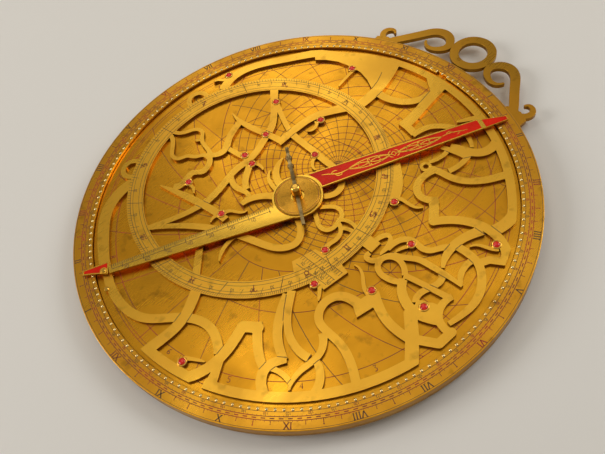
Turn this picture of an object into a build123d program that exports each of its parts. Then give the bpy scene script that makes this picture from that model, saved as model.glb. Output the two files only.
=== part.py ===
from build123d import *
import math
import os

# Planispheric astrolabe lying face up, in millimetres.
# +Z points up out of the face, +Y to the throne, and the origin is on the turning axis
# at the underside of the centre pin's head.

# Mater: a flat back plate with a raised limb soldered round its edge
limb_outer_r = 150.0
limb_width = 13.0
back_thick = 3.0
notch_width = 8.0
notch_depth = 1.6
lug_clearance = 0.15

# Tympans lie in the mater, and the rete lies on them, level with the limb
tympan_count = 3
tympan_thick = 1.0
tympan_clearance = 0.4
rete_thick = 2.0
rete_gap = 2.7

# Centre pin, its head on the back and the wedge through it in front
pin_r = 3.2
pin_rise = 12.8
pin_head_r = 8.0
pin_head_thick = 2.4
running_clearance = 0.05
face_clearance = 0.3

# Alidade on the back, with two sighting vanes that fold flat under it
alidade_setback = 12.0
alidade_width = 14.0
alidade_thick = 2.4
alidade_hub_r = 14.0
alidade_point = 12.0
washer_r = 10.0
washer_thick = 0.6
vane_setback = 20.0
vane_height = 24.0
vane_width = 12.0
vane_thick = 1.6
vane_lift = 0.2
vane_neck = 3.0
knuckle_r = 1.2
knuckle_length = 5.0
lug_length = 3.0
hinge_pin_r = 0.6
end_clearance = 0.1
sight_hole_r = 1.0
pinhole_r = 0.4

# Rete
boss_r = 16.0
band_width = 5.4
lower_band_width = 5.9
knob_r = 1.6
knob_rise = 1.0
collet_r = 2.9
collet_rise = 0.5
jewel_r = 2.1
jewel_rise = 1.0

# Rule: two arms on opposite sides of one fiducial line through the centre
rule_angle = 25.0
arm_thick = 1.4
arm_clearance = 0.3
hub_r = 16.5
collar_r = 12.0
cap_r = 15.3
cap_thick = 0.9
cap_hole_r = 4.6
cap_edge = 0.5
upper_root_width = 14.4
upper_end_width = 8.8
rule_setback = 5.0
tip_length = 17.4
bar_width = 1.7
tip_root_width = 7.6
tip_end_width = 3.6
lower_root_width = 15.2
lower_end_width = 6.4
kite_length = 16.6
kite_setback = 1.4
bevel_width = 4.0
bevel_drop = 0.9
bevel_end = 1.6
rim_width = 0.8
enamel_depth = 0.5
enamel_thick = 0.4
enamel_clearance = 0.05
stud_r = 1.5
stud_rise = 0.8

# Wedge
wedge_angle = 122.8
wedge_blade = 2.2
wedge_front = 24.0
wedge_front_height = 1.3
wedge_pin_height = 2.9
wedge_tail = 36.0
wedge_boss_r = 2.2

# Heights that follow from the sizes above
hinge_z = knuckle_r
alidade_z = 2 * knuckle_r + vane_lift
washer_z = alidade_z + alidade_thick
back_z = washer_z + washer_thick
floor_z = back_z + back_thick
rete_z = floor_z + tympan_count * tympan_thick
face_z = rete_z + rete_thick
limb_height = face_z - floor_z
collar_z = face_z + face_clearance
arm_z = face_z + jewel_rise + arm_clearance
arm_top_z = arm_z + arm_thick
cap_z = arm_top_z
wedge_z = cap_z + cap_thick + running_clearance
pin_hole_r = pin_r + running_clearance

# Reaches in plan that follow from the limb
limb_inner_r = limb_outer_r - limb_width
tympan_r = limb_inner_r - tympan_clearance
rete_outer_r = limb_inner_r - rete_gap
tip_reach = limb_outer_r - rule_setback
upper_panel_end = tip_reach - tip_length
kite_reach = tip_reach - kite_setback
lower_reach = kite_reach - kite_length
alidade_half_length = limb_outer_r - alidade_setback
vane_axis_x = alidade_half_length - vane_setback

# The throne's shapes are drawn for a limb of radius 150, the star map's for a rete of radius 134.3,
# and their widths grow and shrink with them
throne_scale = limb_outer_r / 150
map_scale = rete_outer_r / 134.3
ring_centre_y = 171 * throne_scale
ring_outer_r = 16.4 * throne_scale
ring_inner_r = 10 * throne_scale
ecliptic_centre = (-33.5 * map_scale, -6 * map_scale)
ecliptic_outer_r = 89.7 * map_scale
ecliptic_inner_r = 78.2 * map_scale
knob_place = (-41.5 * map_scale, -125.5 * map_scale)

os.makedirs("parts", exist_ok=True)


def finish(part, label):
    part.label = label
    export_step(part, "parts/" + label + ".step")


def scaled(points, scale):
    return [(x * scale, y * scale) for x, y in points]


# A strap along a smooth centre line, its widths given at the start, the middle and the end
def strap(points, widths, scale):
    points = scaled(points, scale)
    start_width, middle_width, end_width = widths
    centre = Spline(*points, mode=Mode.PRIVATE) if len(points) > 2 else Line(*points, mode=Mode.PRIVATE)
    steps = len(points)
    left = []
    right = []
    for step in range(steps + 1):
        along = step / steps
        other_width = start_width if along < 0.5 else end_width
        width = other_width + (middle_width - other_width) * math.sin(math.pi * along)
        across = centre.tangent_at(along).rotate(Axis.Z, 90) * (width * scale / 2)
        left.append(centre.position_at(along) + across)
        right.append(centre.position_at(along) - across)
    with BuildLine() as outline:
        Spline(*left)
        Line(left[-1], right[-1])
        Spline(*right)
        Line(right[0], left[0])
    return make_face(outline.edges(), mode=Mode.PRIVATE)


# A strap bent in corners instead of curves, all of one width
def bent_strap(points, width):
    for first, last in zip(points, points[1:]):
        run = Vector(*last) - Vector(*first)
        middle = (Vector(*first) + Vector(*last)) / 2
        turn = math.degrees(math.atan2(run.Y, run.X))
        with Locations(Location((middle.X, middle.Y, 0), (0, 0, turn))):
            SlotCenterToCenter(run.length, width)


# A point at a radius and an angle taken clockwise from the throne
def clock(radius, angle):
    return (radius * math.sin(math.radians(angle)), radius * math.cos(math.radians(angle)))


# A band that follows the limb between two radii and two clockwise angles
def limb_band(inner, outer, first, last):
    middle = (first + last) / 2
    with BuildLine() as outline:
        ThreePointArc(clock(outer, first), clock(outer, middle), clock(outer, last))
        Line(clock(outer, last), clock(inner, last))
        ThreePointArc(clock(inner, last), clock(inner, middle), clock(inner, first))
        Line(clock(inner, first), clock(outer, first))
    return make_face(outline.edges(), mode=Mode.PRIVATE)


def filled(points):
    with BuildLine() as outline:
        Polyline(*points, close=True)
    return make_face(outline.edges(), mode=Mode.PRIVATE)


# Mater back: a plain round plate
with BuildPart() as mater_back:
    with BuildSketch(Plane.XY.offset(back_z)):
        Circle(limb_outer_r)
        Circle(pin_hole_r, mode=Mode.SUBTRACT)
    extrude(amount=back_thick)
finish(mater_back.part, "mater_back")

# Throne: an open ring between two scrolls, cut from sheet and soldered to the edge of the back
scroll_run = [(35, 161), (30.5, 156.8), (23.5, 158.3), (18.4, 166.2), (22.5, 172.6), (29.5, 174.6),
              (36.3, 171.2), (41.5, 164.5), (47.5, 156), (53, 148.5), (57, 142)]
scroll_curl = [(58.2, 152.6), (61.5, 154.9), (65.3, 152.4), (65.3, 147.3), (61, 143.5), (54, 140)]
scroll_foot = [(50, 146), (46, 140), (66, 132), (67, 143), (60, 147)]
scroll_run_widths = (1.6, 6.8, 6.2)
scroll_curl_widths = (1.4, 4.4, 6.5)

with BuildPart() as throne:
    with BuildSketch(Plane.XY.offset(back_z)):
        with Locations((0, ring_centre_y)):
            Circle(ring_outer_r)
        add(strap(scroll_run, scroll_run_widths, throne_scale))
        add(strap(scroll_curl, scroll_curl_widths, throne_scale))
        add(filled(scaled(scroll_foot, throne_scale)))
        mirror(about=Plane.YZ)
        with Locations((0, ring_centre_y)):
            Circle(ring_inner_r, mode=Mode.SUBTRACT)
        Circle(limb_outer_r, mode=Mode.SUBTRACT)
    extrude(amount=back_thick)
finish(throne.part, "throne")

# Limb, with the notch that keeps the tympans from turning
with BuildPart() as mater_limb:
    with BuildSketch(Plane.XY.offset(floor_z)):
        Circle(limb_outer_r)
        Circle(limb_inner_r, mode=Mode.SUBTRACT)
        with Locations((0, limb_inner_r)):
            Rectangle(notch_width, 2 * notch_depth, mode=Mode.SUBTRACT)
    extrude(amount=limb_height)
finish(mater_limb.part, "mater_limb")

# Tympans, each with a lug in the notch
for number in range(tympan_count):
    with BuildPart() as tympan:
        with BuildSketch(Plane.XY.offset(floor_z + number * tympan_thick)):
            Circle(tympan_r)
            with Locations((0, limb_inner_r + notch_depth - lug_clearance)):
                Rectangle(
                    notch_width - 2 * lug_clearance,
                    2 * notch_depth,
                    align=(Align.CENTER, Align.MAX),
                )
            Circle(pin_hole_r, mode=Mode.SUBTRACT)
        extrude(amount=tympan_thick)
    finish(tympan.part, "tympan_" + str(number + 1))

# Curved straps of the rete: centre line, then the widths at its start, middle and end
curved_straps = [
    # outer left, from the ecliptic ring up to the step in the band
    ([(-114.5, 31), (-118.5, 45), (-113.5, 62), (-104.5, 75), (-96, 86.5), (-87, 98)], 7, 6.5, 7.4),
    # outer lower left, from the ring down to the bottom sweep
    ([(-98, -66), (-97.5, -78), (-91.5, -91.5), (-76, -105), (-61, -114.4), (-47, -119.8)], 8, 8, 6.4),
    # bottom sweep, rising over the framed star at the bottom right
    ([(-48, -120), (-35, -124), (-20, -124.6), (-8, -121), (1, -113.5), (9, -105.2), (17, -99.6),
      (27, -96.8), (36, -98.6), (44.5, -104)], 6, 5.8, 5.6),
    # top left frame
    ([(-34, 126), (-29, 114), (-26, 102), (-25, 92), (-25.5, 81)], 9, 7.6, 7.6),
    ([(-26, 98.6), (-15, 98), (-6, 101.2), (1, 107), (5, 115), (6.5, 124)], 6, 5.4, 5),
    # hanging strap right of the top, its foot and the rise behind the rule
    ([(7, 131), (8, 119), (9.5, 106), (10.8, 96), (10.8, 87)], 7, 7, 8),
    ([(7.5, 88.4), (14, 87.8), (21.5, 86)], 5.2, 5.2, 4.6),
    ([(21, 84.5), (22.3, 91), (25, 97), (30, 101.8), (37, 105.8), (45, 106.8), (52, 104.6),
      (57, 100.5)], 4.2, 4.2, 2.4),
    ([(45, 124), (40.5, 118), (36, 111.2)], 4, 3.4, 1.2),
    # lyre right of the rule
    ([(63, 122), (66.3, 112), (66, 104.5), (61, 98.5), (54, 95.5), (46, 92.8)], 7, 6.4, 4.6),
    ([(42, 88.6), (50, 91), (59, 92.6)], 3, 3.8, 4),
    ([(59, 96), (60.4, 88), (58.2, 77)], 4, 3.6, 4),
    ([(47.2, 88), (46.8, 81), (44, 74.5)], 3.4, 3, 2.4),
    ([(47, 70.5), (55, 73), (66, 75), (74, 80), (81, 87.5), (87, 97), (91, 101)], 4.6, 5, 6),
    ([(51, 72), (49, 63.5), (50.8, 55.8), (57, 51.2), (63.5, 52.3), (68, 56)], 5, 4.8, 5),
    ([(27, 60), (36, 52.6), (43.4, 44.6), (47.6, 36)], 8, 8, 5),
    # from the upper right band down to the wave
    ([(107.5, 80), (109, 72), (106, 58.5)], 8, 7.4, 7.4),
    # right arm of the wave, over to the starred corner
    ([(75.5, 41.5), (84, 50.5), (94, 56.5), (104, 58.8), (114, 57.4), (122, 52.5)], 5.6, 5.8, 6),
    ([(101.5, 56), (97.6, 46.5), (96, 38), (97, 30), (101.3, 21.5)], 7, 5.6, 2),
    # great right loop, its inner curve and the knot below it
    ([(96, 37.8), (105, 38.4), (114, 37), (122.5, 30), (128, 20), (128.8, 9), (126.8, -3)], 5, 5, 3),
    ([(110.5, 36.5), (110.8, 27), (116.4, 19.5)], 4.4, 3.6, 1.8),
    ([(73.5, 9.4), (80, 12), (86, 16), (95, 18), (106, 19.3), (117, 19.6)], 3.6, 4, 2),
    ([(103.5, 18), (106, 12.5), (103.6, 5), (102.6, -1), (104.5, -5.5)], 4, 4, 3.6),
    ([(88.5, 3.2), (83, 7.7), (77, 8.6), (72, 5.4), (71, 0), (74.5, -4.2), (80.5, -5), (87, -3),
      (91, 1)], 3.6, 3.6, 4),
    ([(88, 3.2), (95, 5), (105, 7), (117, 9.4)], 3.6, 3.6, 4),
    ([(89.5, 1), (94, -5.3), (101, -9.2), (109, -10.3), (116, -8.4), (123, -5)], 5, 6, 5),
    ([(105, -6), (110.5, -4.3), (117, -4)], 5, 7, 5),
    ([(117.2, 11), (116.6, 2.5), (120.4, -4.2), (127, -6.8), (133, -6)], 4, 4.6, 5),
    # sweep under the knot
    ([(82.5, -17), (91, -21.3), (101, -24.6), (110, -25), (119.5, -24)], 7, 5.6, 5.4),
    ([(84, -27.8), (77, -28.2), (70.2, -31), (66.6, -37), (67, -44), (71, -49.8), (79, -52), (88, -52),
      (97, -53.6), (106, -57.6), (114.5, -63)], 6.4, 5, 5.2),
    ([(79, -54.5), (85, -60), (87.4, -67), (86.6, -74), (86.6, -82), (90, -90.5)], 5, 4, 1.2),
    ([(88.4, -68.6), (95.5, -72), (100.4, -79), (101.2, -87), (97.5, -96)], 4, 5, 5),
    # two straps that part from the ring and meet the small knot at the lower right
    ([(46, -48), (55, -59.4), (63, -66.4), (72, -70.3), (84.5, -70)], 5, 4.6, 5),
    ([(45.5, -51.5), (53, -64), (60, -72), (67.5, -77.3), (75, -80.4)], 5, 5.6, 5),
    ([(75.6, -79), (72, -85), (71, -91.4), (75, -97.8), (83, -102)], 4.6, 6, 6),
    ([(72.6, -89), (79.5, -86.6), (88, -87.2)], 3.4, 3.2, 3),
    ([(46, -75.5), (53, -81.4), (60, -86.8), (70, -91.4)], 6, 5.6, 5),
    # framed star at the bottom right
    ([(1.5, -86), (8, -97), (11.8, -107), (12.2, -120), (11.4, -135)], 7, 6.8, 7.4),
    ([(41.5, -126), (46.2, -115), (47, -105), (45.5, -95), (41.6, -83)], 6.6, 6.4, 6.6),
    # ecliptic ring to its neighbours
    ([(46, 5.8), (54, 5.8), (63, 6)], 8.4, 8.4, 8.4),
    ([(60, 8), (60.3, 14.4), (63.8, 17.6), (67, 13), (67.6, 4.5)], 3.4, 3.4, 2.6),
    ([(62.5, 1), (63.5, -2.6), (67.6, -1.8), (70.6, 3.4), (75, 9)], 3.4, 3.6, 3.6),
    ([(68.4, 9.5), (69.4, 17.6), (74, 23.6), (82, 23.6), (86.8, 24.6), (91, 30), (96.5, 34.5)], 4, 4, 4),
    # inside the ring, top
    ([(-31, 75), (-37.6, 64.5), (-42.6, 54), (-44.4, 42), (-44.6, 30), (-44.6, 22.5)], 8, 5.8, 5.6),
    ([(-45, 34.2), (-22, 33.2), (0, 32), (10.5, 29.8), (15.2, 22.4), (11.6, 12)], 5, 4.6, 4),
    ([(-84, 54), (-74.5, 45.6), (-66.6, 38.2), (-60.4, 31.4), (-56.6, 23)], 6, 5, 5.4),
    ([(-79, 50), (-69, 44.6), (-57, 39), (-45, 34.4)], 3.6, 3.6, 3.8),
    # inside the ring, left
    ([(-91, 19.8), (-80, 18.6), (-69, 20), (-56, 23), (-44.6, 25)], 0.8, 4.6, 5),
    ([(-81, 19.6), (-78.2, 10.5), (-74.8, 3), (-70.4, -3), (-69.2, -8.6), (-72.2, -13.6), (-77, -15.6)],
     5, 5, 3.4),
    ([(-76, -15.4), (-70.6, -17.8), (-67.2, -22.6), (-67.2, -28), (-71, -32), (-70.2, -39), (-72, -49)],
     3.6, 4.6, 5.4),
    ([(-71, -3.4), (-61, -2), (-50, 0)], 3.4, 3.8, 3.8),
    ([(-113, -18.6), (-106, -15.6), (-101.6, -8.6), (-97.4, -4.6), (-93, -7), (-88, -10.8), (-81, -12.4),
      (-73.5, -15)], 3.2, 3, 3),
    ([(-113, -22.6), (-104.5, -24.8), (-98.6, -30), (-93.4, -33), (-88.8, -31.2), (-86.4, -26.4),
      (-81.6, -23.2), (-78, -18.6), (-72.4, -17.6)], 3.4, 3, 3),
    ([(-56.2, 23), (-52.8, 14), (-50.2, 6), (-49.4, -3), (-50, -12), (-48, -21), (-45.8, -31),
      (-44.8, -42)], 5, 5, 5),
    ([(-45, -40), (-47, -52), (-50.6, -63), (-55, -72.4), (-59.5, -82)], 5.4, 4, 3),
    ([(-60, -82.5), (-48.4, -69.6), (-38, -60.6), (-26, -52.4), (-14, -46.4), (-4, -42.4), (9, -38),
      (18.6, -33), (23.4, -26), (22.6, -19.4), (17, -14), (9, -11)], 3, 5, 4.4),
    ([(-80.5, -54.2), (-66, -49.6), (-50, -45.6), (-38, -43.2), (-24, -42)], 0.8, 5.2, 5),
    # inside the ring, round the centre
    ([(-48, -0.5), (-42.6, -7), (-38.4, -12.6), (-31.6, -17)], 5, 4.6, 4),
    ([(-50, -16.4), (-44, -19.6), (-36, -20.6), (-30, -18.8), (-25.6, -25)], 4, 4, 2.6),
    ([(-25.2, -27.4), (-23.4, -19.6), (-18.4, -13), (-10, -7)], 3.4, 4.8, 6),
    ([(-32.4, 16), (-29.6, 8), (-24, 2.4), (-14, 0)], 1, 4.6, 6),
    ([(-31.2, 3.6), (-27, -1.8), (-20, -4.2), (-12, -5)], 0.8, 2.8, 4),
    ([(-25, -62), (-13, -74), (-5, -82)], 4, 4.8, 5),
    ([(-9, -45), (-8.6, -55), (-3, -64.6)], 2.6, 2.8, 0.8),
    ([(13, 2), (18.6, 7.4), (25, 11.4), (30.2, 9.6), (32, 4.8)], 3, 3, 3),
    ([(31.6, 5.4), (33.2, 0.2), (31.4, -4.6), (27.6, -5.9), (22, -4), (12, 0.4)], 3, 3, 3),
    ([(31, 4.6), (36.6, 8.6), (46, 7.4)], 2.6, 2.6, 2.6),
    ([(32, 3.8), (38, 0.8), (40.6, -4.6), (39.8, -10.6), (41.4, -16)], 2.8, 2.8, 3.4),
    ([(36, 1), (41.4, 4.6), (46.5, 5)], 2.4, 2.6, 3),
]

# Straps of the rete with sharp corners
corner_straps = [
    ([(13, -131.2), (26, -129), (41, -125.4)], 6.4),
    ([(42, -83), (49, -77.5)], 7),
    ([(66.4, 53.4), (69.4, 50.4), (76, 42.4)], 6),
    ([(107, -12.4), (117, -22), (127, -33.4)], 7.6),
    ([(131, -6), (130.6, -15.6), (121.5, -21.2)], 5.6),
    ([(122, 52), (124, 47.2), (117.4, 43), (114.6, 37.6)], 5),
]

# Solid fields of the rete
fields = [
    [(-90.6, 100), (-85.5, 103.6), (-70, 112), (-55, 121.6), (-40, 127.4), (-28, 131), (-29, 122), (-26, 112),
     (-28, 97.6), (-38, 102.4), (-47, 104.8), (-57, 104.4), (-67, 102.4), (-75, 98.6), (-82, 93.4)],
    [(81, -19), (89.4, -22), (86.6, -34.6), (80, -31), (80, -26)],
    [(49, -103), (57.2, -115.4), (55, -122.6), (52.6, -121), (49, -112)],
    [(-7, 129.4), (4.4, 121), (8, 122), (6, 132)],
    [(104, -9), (107, -3), (112, 1), (116, 2), (119.4, -4), (118, -9), (112, -11)],
    [(36, -19), (31.5, -34.4), (37.4, -38.4), (54, -33.4), (59.8, -35), (62.2, -17.2), (54, -15.4)],
]

# Places of the star jewels
jewels = [
    (-54, 103.5), (-122.5, 42.5), (-74, 47), (-36.5, 55.3), (-57, 22), (-54.5, 0.5), (-45, -1), (-67, -39.5),
    (-17.5, 31.5), (-29.5, -41), (41, -15.5), (48.5, 37.5), (53, -36), (77, 21.5), (114, 53.5), (110, -4.5),
    (81, -16.5), (32.5, -121.5),
]

# Curled thorns beside the stars, from the root to the tip
thorns = [
    [(-52.2, 105), (-51.4, 96), (-49.2, 85.4)],
    [(-119.6, 41), (-122, 36.8), (-124.8, 34.8), (-126.2, 30.8)],
    [(-38.4, 52.6), (-34.4, 47), (-36.8, 42.6)],
    [(-43.6, 0.6), (-39.4, 1.6), (-35.4, 0.6)],
    [(-67.5, -40.8), (-62.6, -40), (-57, -42.8)],
    [(-90, -10), (-91, -12), (-93, -13.8)],
    [(-16, 30.6), (-13.4, 25.2), (-8, 23)],
    [(-28.6, -39), (-25.8, -34.8), (-20.4, -31.8), (-18.6, -28.2)],
    [(-30.4, -43), (-31.4, -46.5), (-30, -50)],
    [(48.6, 41.4), (56, 42.2), (61, 43), (64.2, 46)],
    [(56, -34.4), (59.4, -38), (62.8, -42)],
    [(78.4, 21.6), (75.2, 16.8), (73.6, 11.6)],
    [(116.6, 52), (113.4, 49.4), (108, 47.4), (103.6, 42.6)],
    [(83, -19.2), (76, -17.8), (71, -13.6), (66, -10.8), (61.4, -11)],
    [(31.6, -119.4), (36, -116), (42.4, -112.4)],
]
thorn_widths = (3.0, 2.2, 0.8)
eye_place = (45 * map_scale, 70.5 * map_scale)
eye_outer_r = 3.8 * map_scale
eye_inner_r = 1.8 * map_scale
hook_places = scaled([(-121.5, 12), (-107.5, -58.5)], map_scale)
hook_r = 8.7 * map_scale
hook_width = 3.6 * map_scale
jewel_places = scaled(jewels, map_scale)

# Rete: the ecliptic ring, the outer bands, the straps between them and the star points
with BuildPart() as rete:
    with BuildSketch(Plane.XY.offset(rete_z)):
        with Locations(hook_places):
            Circle(hook_r)
            Circle(hook_r - hook_width, mode=Mode.SUBTRACT)
        with Locations(ecliptic_centre):
            Circle(ecliptic_outer_r)
            Circle(ecliptic_inner_r, mode=Mode.SUBTRACT)
        add(limb_band(rete_outer_r - band_width * map_scale, rete_outer_r, -17, 57))
        add(limb_band(rete_outer_r - lower_band_width * map_scale, rete_outer_r, 104, 156.8))
        add([filled(scaled(points, map_scale)) for points in fields])
        add([strap(points, widths, map_scale) for points, *widths in curved_straps])
        add([strap(points, thorn_widths, map_scale) for points in thorns])
        for points, width in corner_straps:
            bent_strap(scaled(points, map_scale), width * map_scale)
        with Locations(jewel_places):
            Circle(collet_r * map_scale)
        Circle(boss_r * map_scale)
        with Locations(eye_place):
            Circle(eye_outer_r)
            Circle(eye_inner_r, mode=Mode.SUBTRACT)
        Circle(pin_hole_r, mode=Mode.SUBTRACT)
        Circle(rete_outer_r, mode=Mode.INTERSECT)
    extrude(amount=rete_thick)
finish(rete.part, "rete")

# Collets: low round cups on the star points
with BuildPart() as star_collets:
    with BuildSketch(Plane.XY.offset(face_z)):
        with Locations(jewel_places):
            Circle(collet_r)
            Circle(jewel_r, mode=Mode.SUBTRACT)
    extrude(amount=collet_rise)
finish(star_collets.part, "star_collets")

# Jewels: domed red stones, flat underneath, held in the collets
jewel_ball_r = (jewel_r ** 2 + (jewel_rise - collet_rise) ** 2) / (2 * (jewel_rise - collet_rise))
with BuildPart() as star_jewels:
    with BuildSketch(Plane.XY.offset(face_z)):
        with Locations(jewel_places):
            Circle(jewel_r)
    extrude(amount=jewel_rise)
    with Locations([(x, y, face_z + jewel_rise - jewel_ball_r) for x, y in jewel_places]):
        Sphere(jewel_ball_r, mode=Mode.INTERSECT)
finish(star_jewels.part, "star_jewels")

# Small turned knob by which the rete is moved
with BuildPart() as rete_knob:
    with BuildSketch(Plane.XY.offset(face_z)):
        with Locations(knob_place):
            Circle(knob_r)
    extrude(amount=knob_rise)
    chamfer(rete_knob.edges().group_by(Axis.Z)[-1], 0.4)
finish(rete_knob.part, "rete_knob")

# The rule is drawn across and along its fiducial line: x to the clockwise side, y outward
fiducial = math.radians(rule_angle)
across_rule = (math.cos(fiducial), -math.sin(fiducial), 0)


def rule_plane(height):
    return Plane(origin=(0, 0, height), x_dir=across_rule, z_dir=(0, 0, 1))


upper_outline = [(0, 0), (0, tip_reach), (-tip_end_width, tip_reach),
                 (-tip_root_width, upper_panel_end + bar_width), (-upper_end_width, upper_panel_end),
                 (-upper_root_width, 0)]
lower_outline = [(0, 0), (0, -lower_reach), (lower_end_width, -lower_reach), (lower_root_width, 0)]
kite_waist = 5.6
kite_outline = [(-2.4, -lower_reach + 1), (6.2, -lower_reach - 1), (2.6, -kite_reach + kite_waist),
                (1.2, -kite_reach), (-2.2, -kite_reach)]


# A panel's outline lies inside its frame by a rim all round
def inset(points, distance):
    with BuildSketch() as panel:
        with BuildLine() as outline:
            Polyline(*points, close=True)
        make_face(outline.edges())
        offset(amount=-distance, kind=Kind.INTERSECTION)
    return panel.sketch


main_panel = [(0, 0), (0, upper_panel_end), (-upper_end_width, upper_panel_end), (-upper_root_width, 0)]
tip_panel = [(0, upper_panel_end + bar_width), (0, tip_reach), (-tip_end_width, tip_reach),
             (-tip_root_width, upper_panel_end + bar_width)]
panel_root_r = hub_r + rim_width

with BuildPart() as rule:
    with BuildSketch(rule_plane(arm_z)):
        add(filled(upper_outline))
        add(filled(lower_outline))
        add(filled(kite_outline))
        Circle(hub_r)
    extrude(amount=arm_thick)
    with BuildSketch(Plane.XY.offset(collar_z)):
        Circle(collar_r)
    extrude(amount=arm_z - collar_z)
    # recesses for the enamel
    with BuildSketch(rule_plane(arm_top_z)):
        add(inset(main_panel, rim_width))
        Circle(panel_root_r, mode=Mode.SUBTRACT)
        add(inset(tip_panel, rim_width / 2))
        add(inset(kite_outline, rim_width))
    extrude(amount=-enamel_depth, mode=Mode.SUBTRACT)
    # bevelled and graduated edge of the lower arm
    along_rule = rule_plane(arm_top_z).y_dir
    bevel_plane = Plane(origin=(0, 0, arm_top_z), x_dir=across_rule, z_dir=along_rule)
    with BuildSketch(bevel_plane.offset(-panel_root_r)):
        add(filled([(0, bevel_drop), (bevel_width, 0), (bevel_width, -1), (-1, -1), (-1, bevel_drop)]))
    extrude(amount=panel_root_r + bevel_end - lower_reach, mode=Mode.SUBTRACT)
    with BuildSketch(Plane.XY.offset(collar_z)):
        Circle(pin_hole_r)
    extrude(amount=arm_top_z - collar_z, mode=Mode.SUBTRACT)
finish(rule.part, "rule")


# Enamel panels: each fills its recess, a little below the rim
def enamel_panel(outline, rim, label):
    with BuildPart() as panel:
        with BuildSketch(rule_plane(arm_top_z - enamel_depth)):
            add(inset(outline, rim + enamel_clearance))
            Circle(panel_root_r + enamel_clearance, mode=Mode.SUBTRACT)
        extrude(amount=enamel_thick)
    finish(panel.part, label)


enamel_panel(main_panel, rim_width, "enamel_arm")
enamel_panel(tip_panel, rim_width / 2, "enamel_tip")
enamel_panel(kite_outline, rim_width, "enamel_kite")

# Round stud on the kite
with BuildPart() as kite_stud:
    with BuildSketch(rule_plane(arm_top_z - enamel_depth + enamel_thick)):
        with Locations((3.0, -lower_reach - 3.4)):
            Circle(stud_r)
    extrude(amount=stud_rise)
    chamfer(kite_stud.edges().group_by(Axis.Z)[-1], stud_rise / 2)
finish(kite_stud.part, "kite_stud")

# Turned cap on the rule's hub, with a well round the pin
with BuildPart() as hub_cap:
    with BuildSketch(Plane.XY.offset(cap_z)):
        Circle(cap_r)
        Circle(cap_hole_r, mode=Mode.SUBTRACT)
    extrude(amount=cap_thick)
    chamfer(hub_cap.edges().group_by(Axis.Z)[-1], cap_edge)
finish(hub_cap.part, "hub_cap")

# Wedge, drawn from the side: x runs to its thin end and y upward from its flat underside
wedge_turn = math.radians(wedge_angle)
wedge_way = (math.sin(wedge_turn), math.cos(wedge_turn), 0)
wedge_side = (math.cos(wedge_turn), -math.sin(wedge_turn), 0)
wedge_plane = Plane(origin=(0, 0, wedge_z), x_dir=wedge_way, z_dir=wedge_side)
blade_slope = (wedge_pin_height - wedge_front_height) / wedge_front
slot_height = wedge_pin_height + blade_slope * pin_r + running_clearance

# The curled head behind the blade is drawn for a wedge that reaches 36 back from the pin
head_scale = wedge_tail / 36
head_neck = 9 * head_scale
neck_height = wedge_pin_height + blade_slope * head_neck
head_under = scaled([(-10, 0), (-15, 0.9), (-19, 0.1), (-23.5, 1.1), (-27.5, 0.6), (-31, 2.1), (-36, 4.6)],
                    head_scale)
head_top = scaled([(-36, 4.6), (-35.8, 6), (-31, 4.6), (-26, 6.2), (-20, 7.4), (-14, 6.4)], head_scale)
boss_places = scaled([(-20.5, 4.2), (-28, 3.3)], head_scale)

with BuildPart() as wedge:
    with BuildSketch(wedge_plane):
        with BuildLine():
            Line((wedge_front, 0), head_under[0])
            Spline(*head_under)
            Spline(*head_top, (-head_neck, neck_height))
            Line((-head_neck, neck_height), (wedge_front, wedge_front_height))
            Line((wedge_front, wedge_front_height), (wedge_front, 0))
        make_face()
    extrude(amount=wedge_blade / 2, both=True)
    with Locations([wedge_plane.from_local_coords((x, y, 0)) for x, y in boss_places]):
        Sphere(wedge_boss_r)
finish(wedge.part, "wedge")

# Centre pin: a flat head behind, a shank through everything, a slot and a domed end
pin_top_z = face_z + pin_rise
with BuildPart() as centre_pin:
    with BuildSketch():
        Circle(pin_head_r)
    extrude(amount=pin_head_thick)
    chamfer(centre_pin.edges().group_by(Axis.Z)[-1], 0.4)
    with BuildSketch():
        Circle(pin_r)
    extrude(amount=pin_top_z)
    fillet(centre_pin.edges().group_by(Axis.Z)[-1], 0.6 * pin_r)
    with BuildSketch(wedge_plane):
        with Locations((0, -running_clearance)):
            Rectangle(4 * pin_r, slot_height + running_clearance, align=(Align.CENTER, Align.MIN))
    extrude(amount=wedge_blade / 2 + running_clearance, both=True, mode=Mode.SUBTRACT)
finish(centre_pin.part, "centre_pin")

# Washer between the mater and the alidade
with BuildPart() as back_washer:
    with BuildSketch(Plane.XY.offset(washer_z)):
        Circle(washer_r)
        Circle(pin_hole_r, mode=Mode.SUBTRACT)
    extrude(amount=washer_thick)
finish(back_washer.part, "back_washer")

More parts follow.
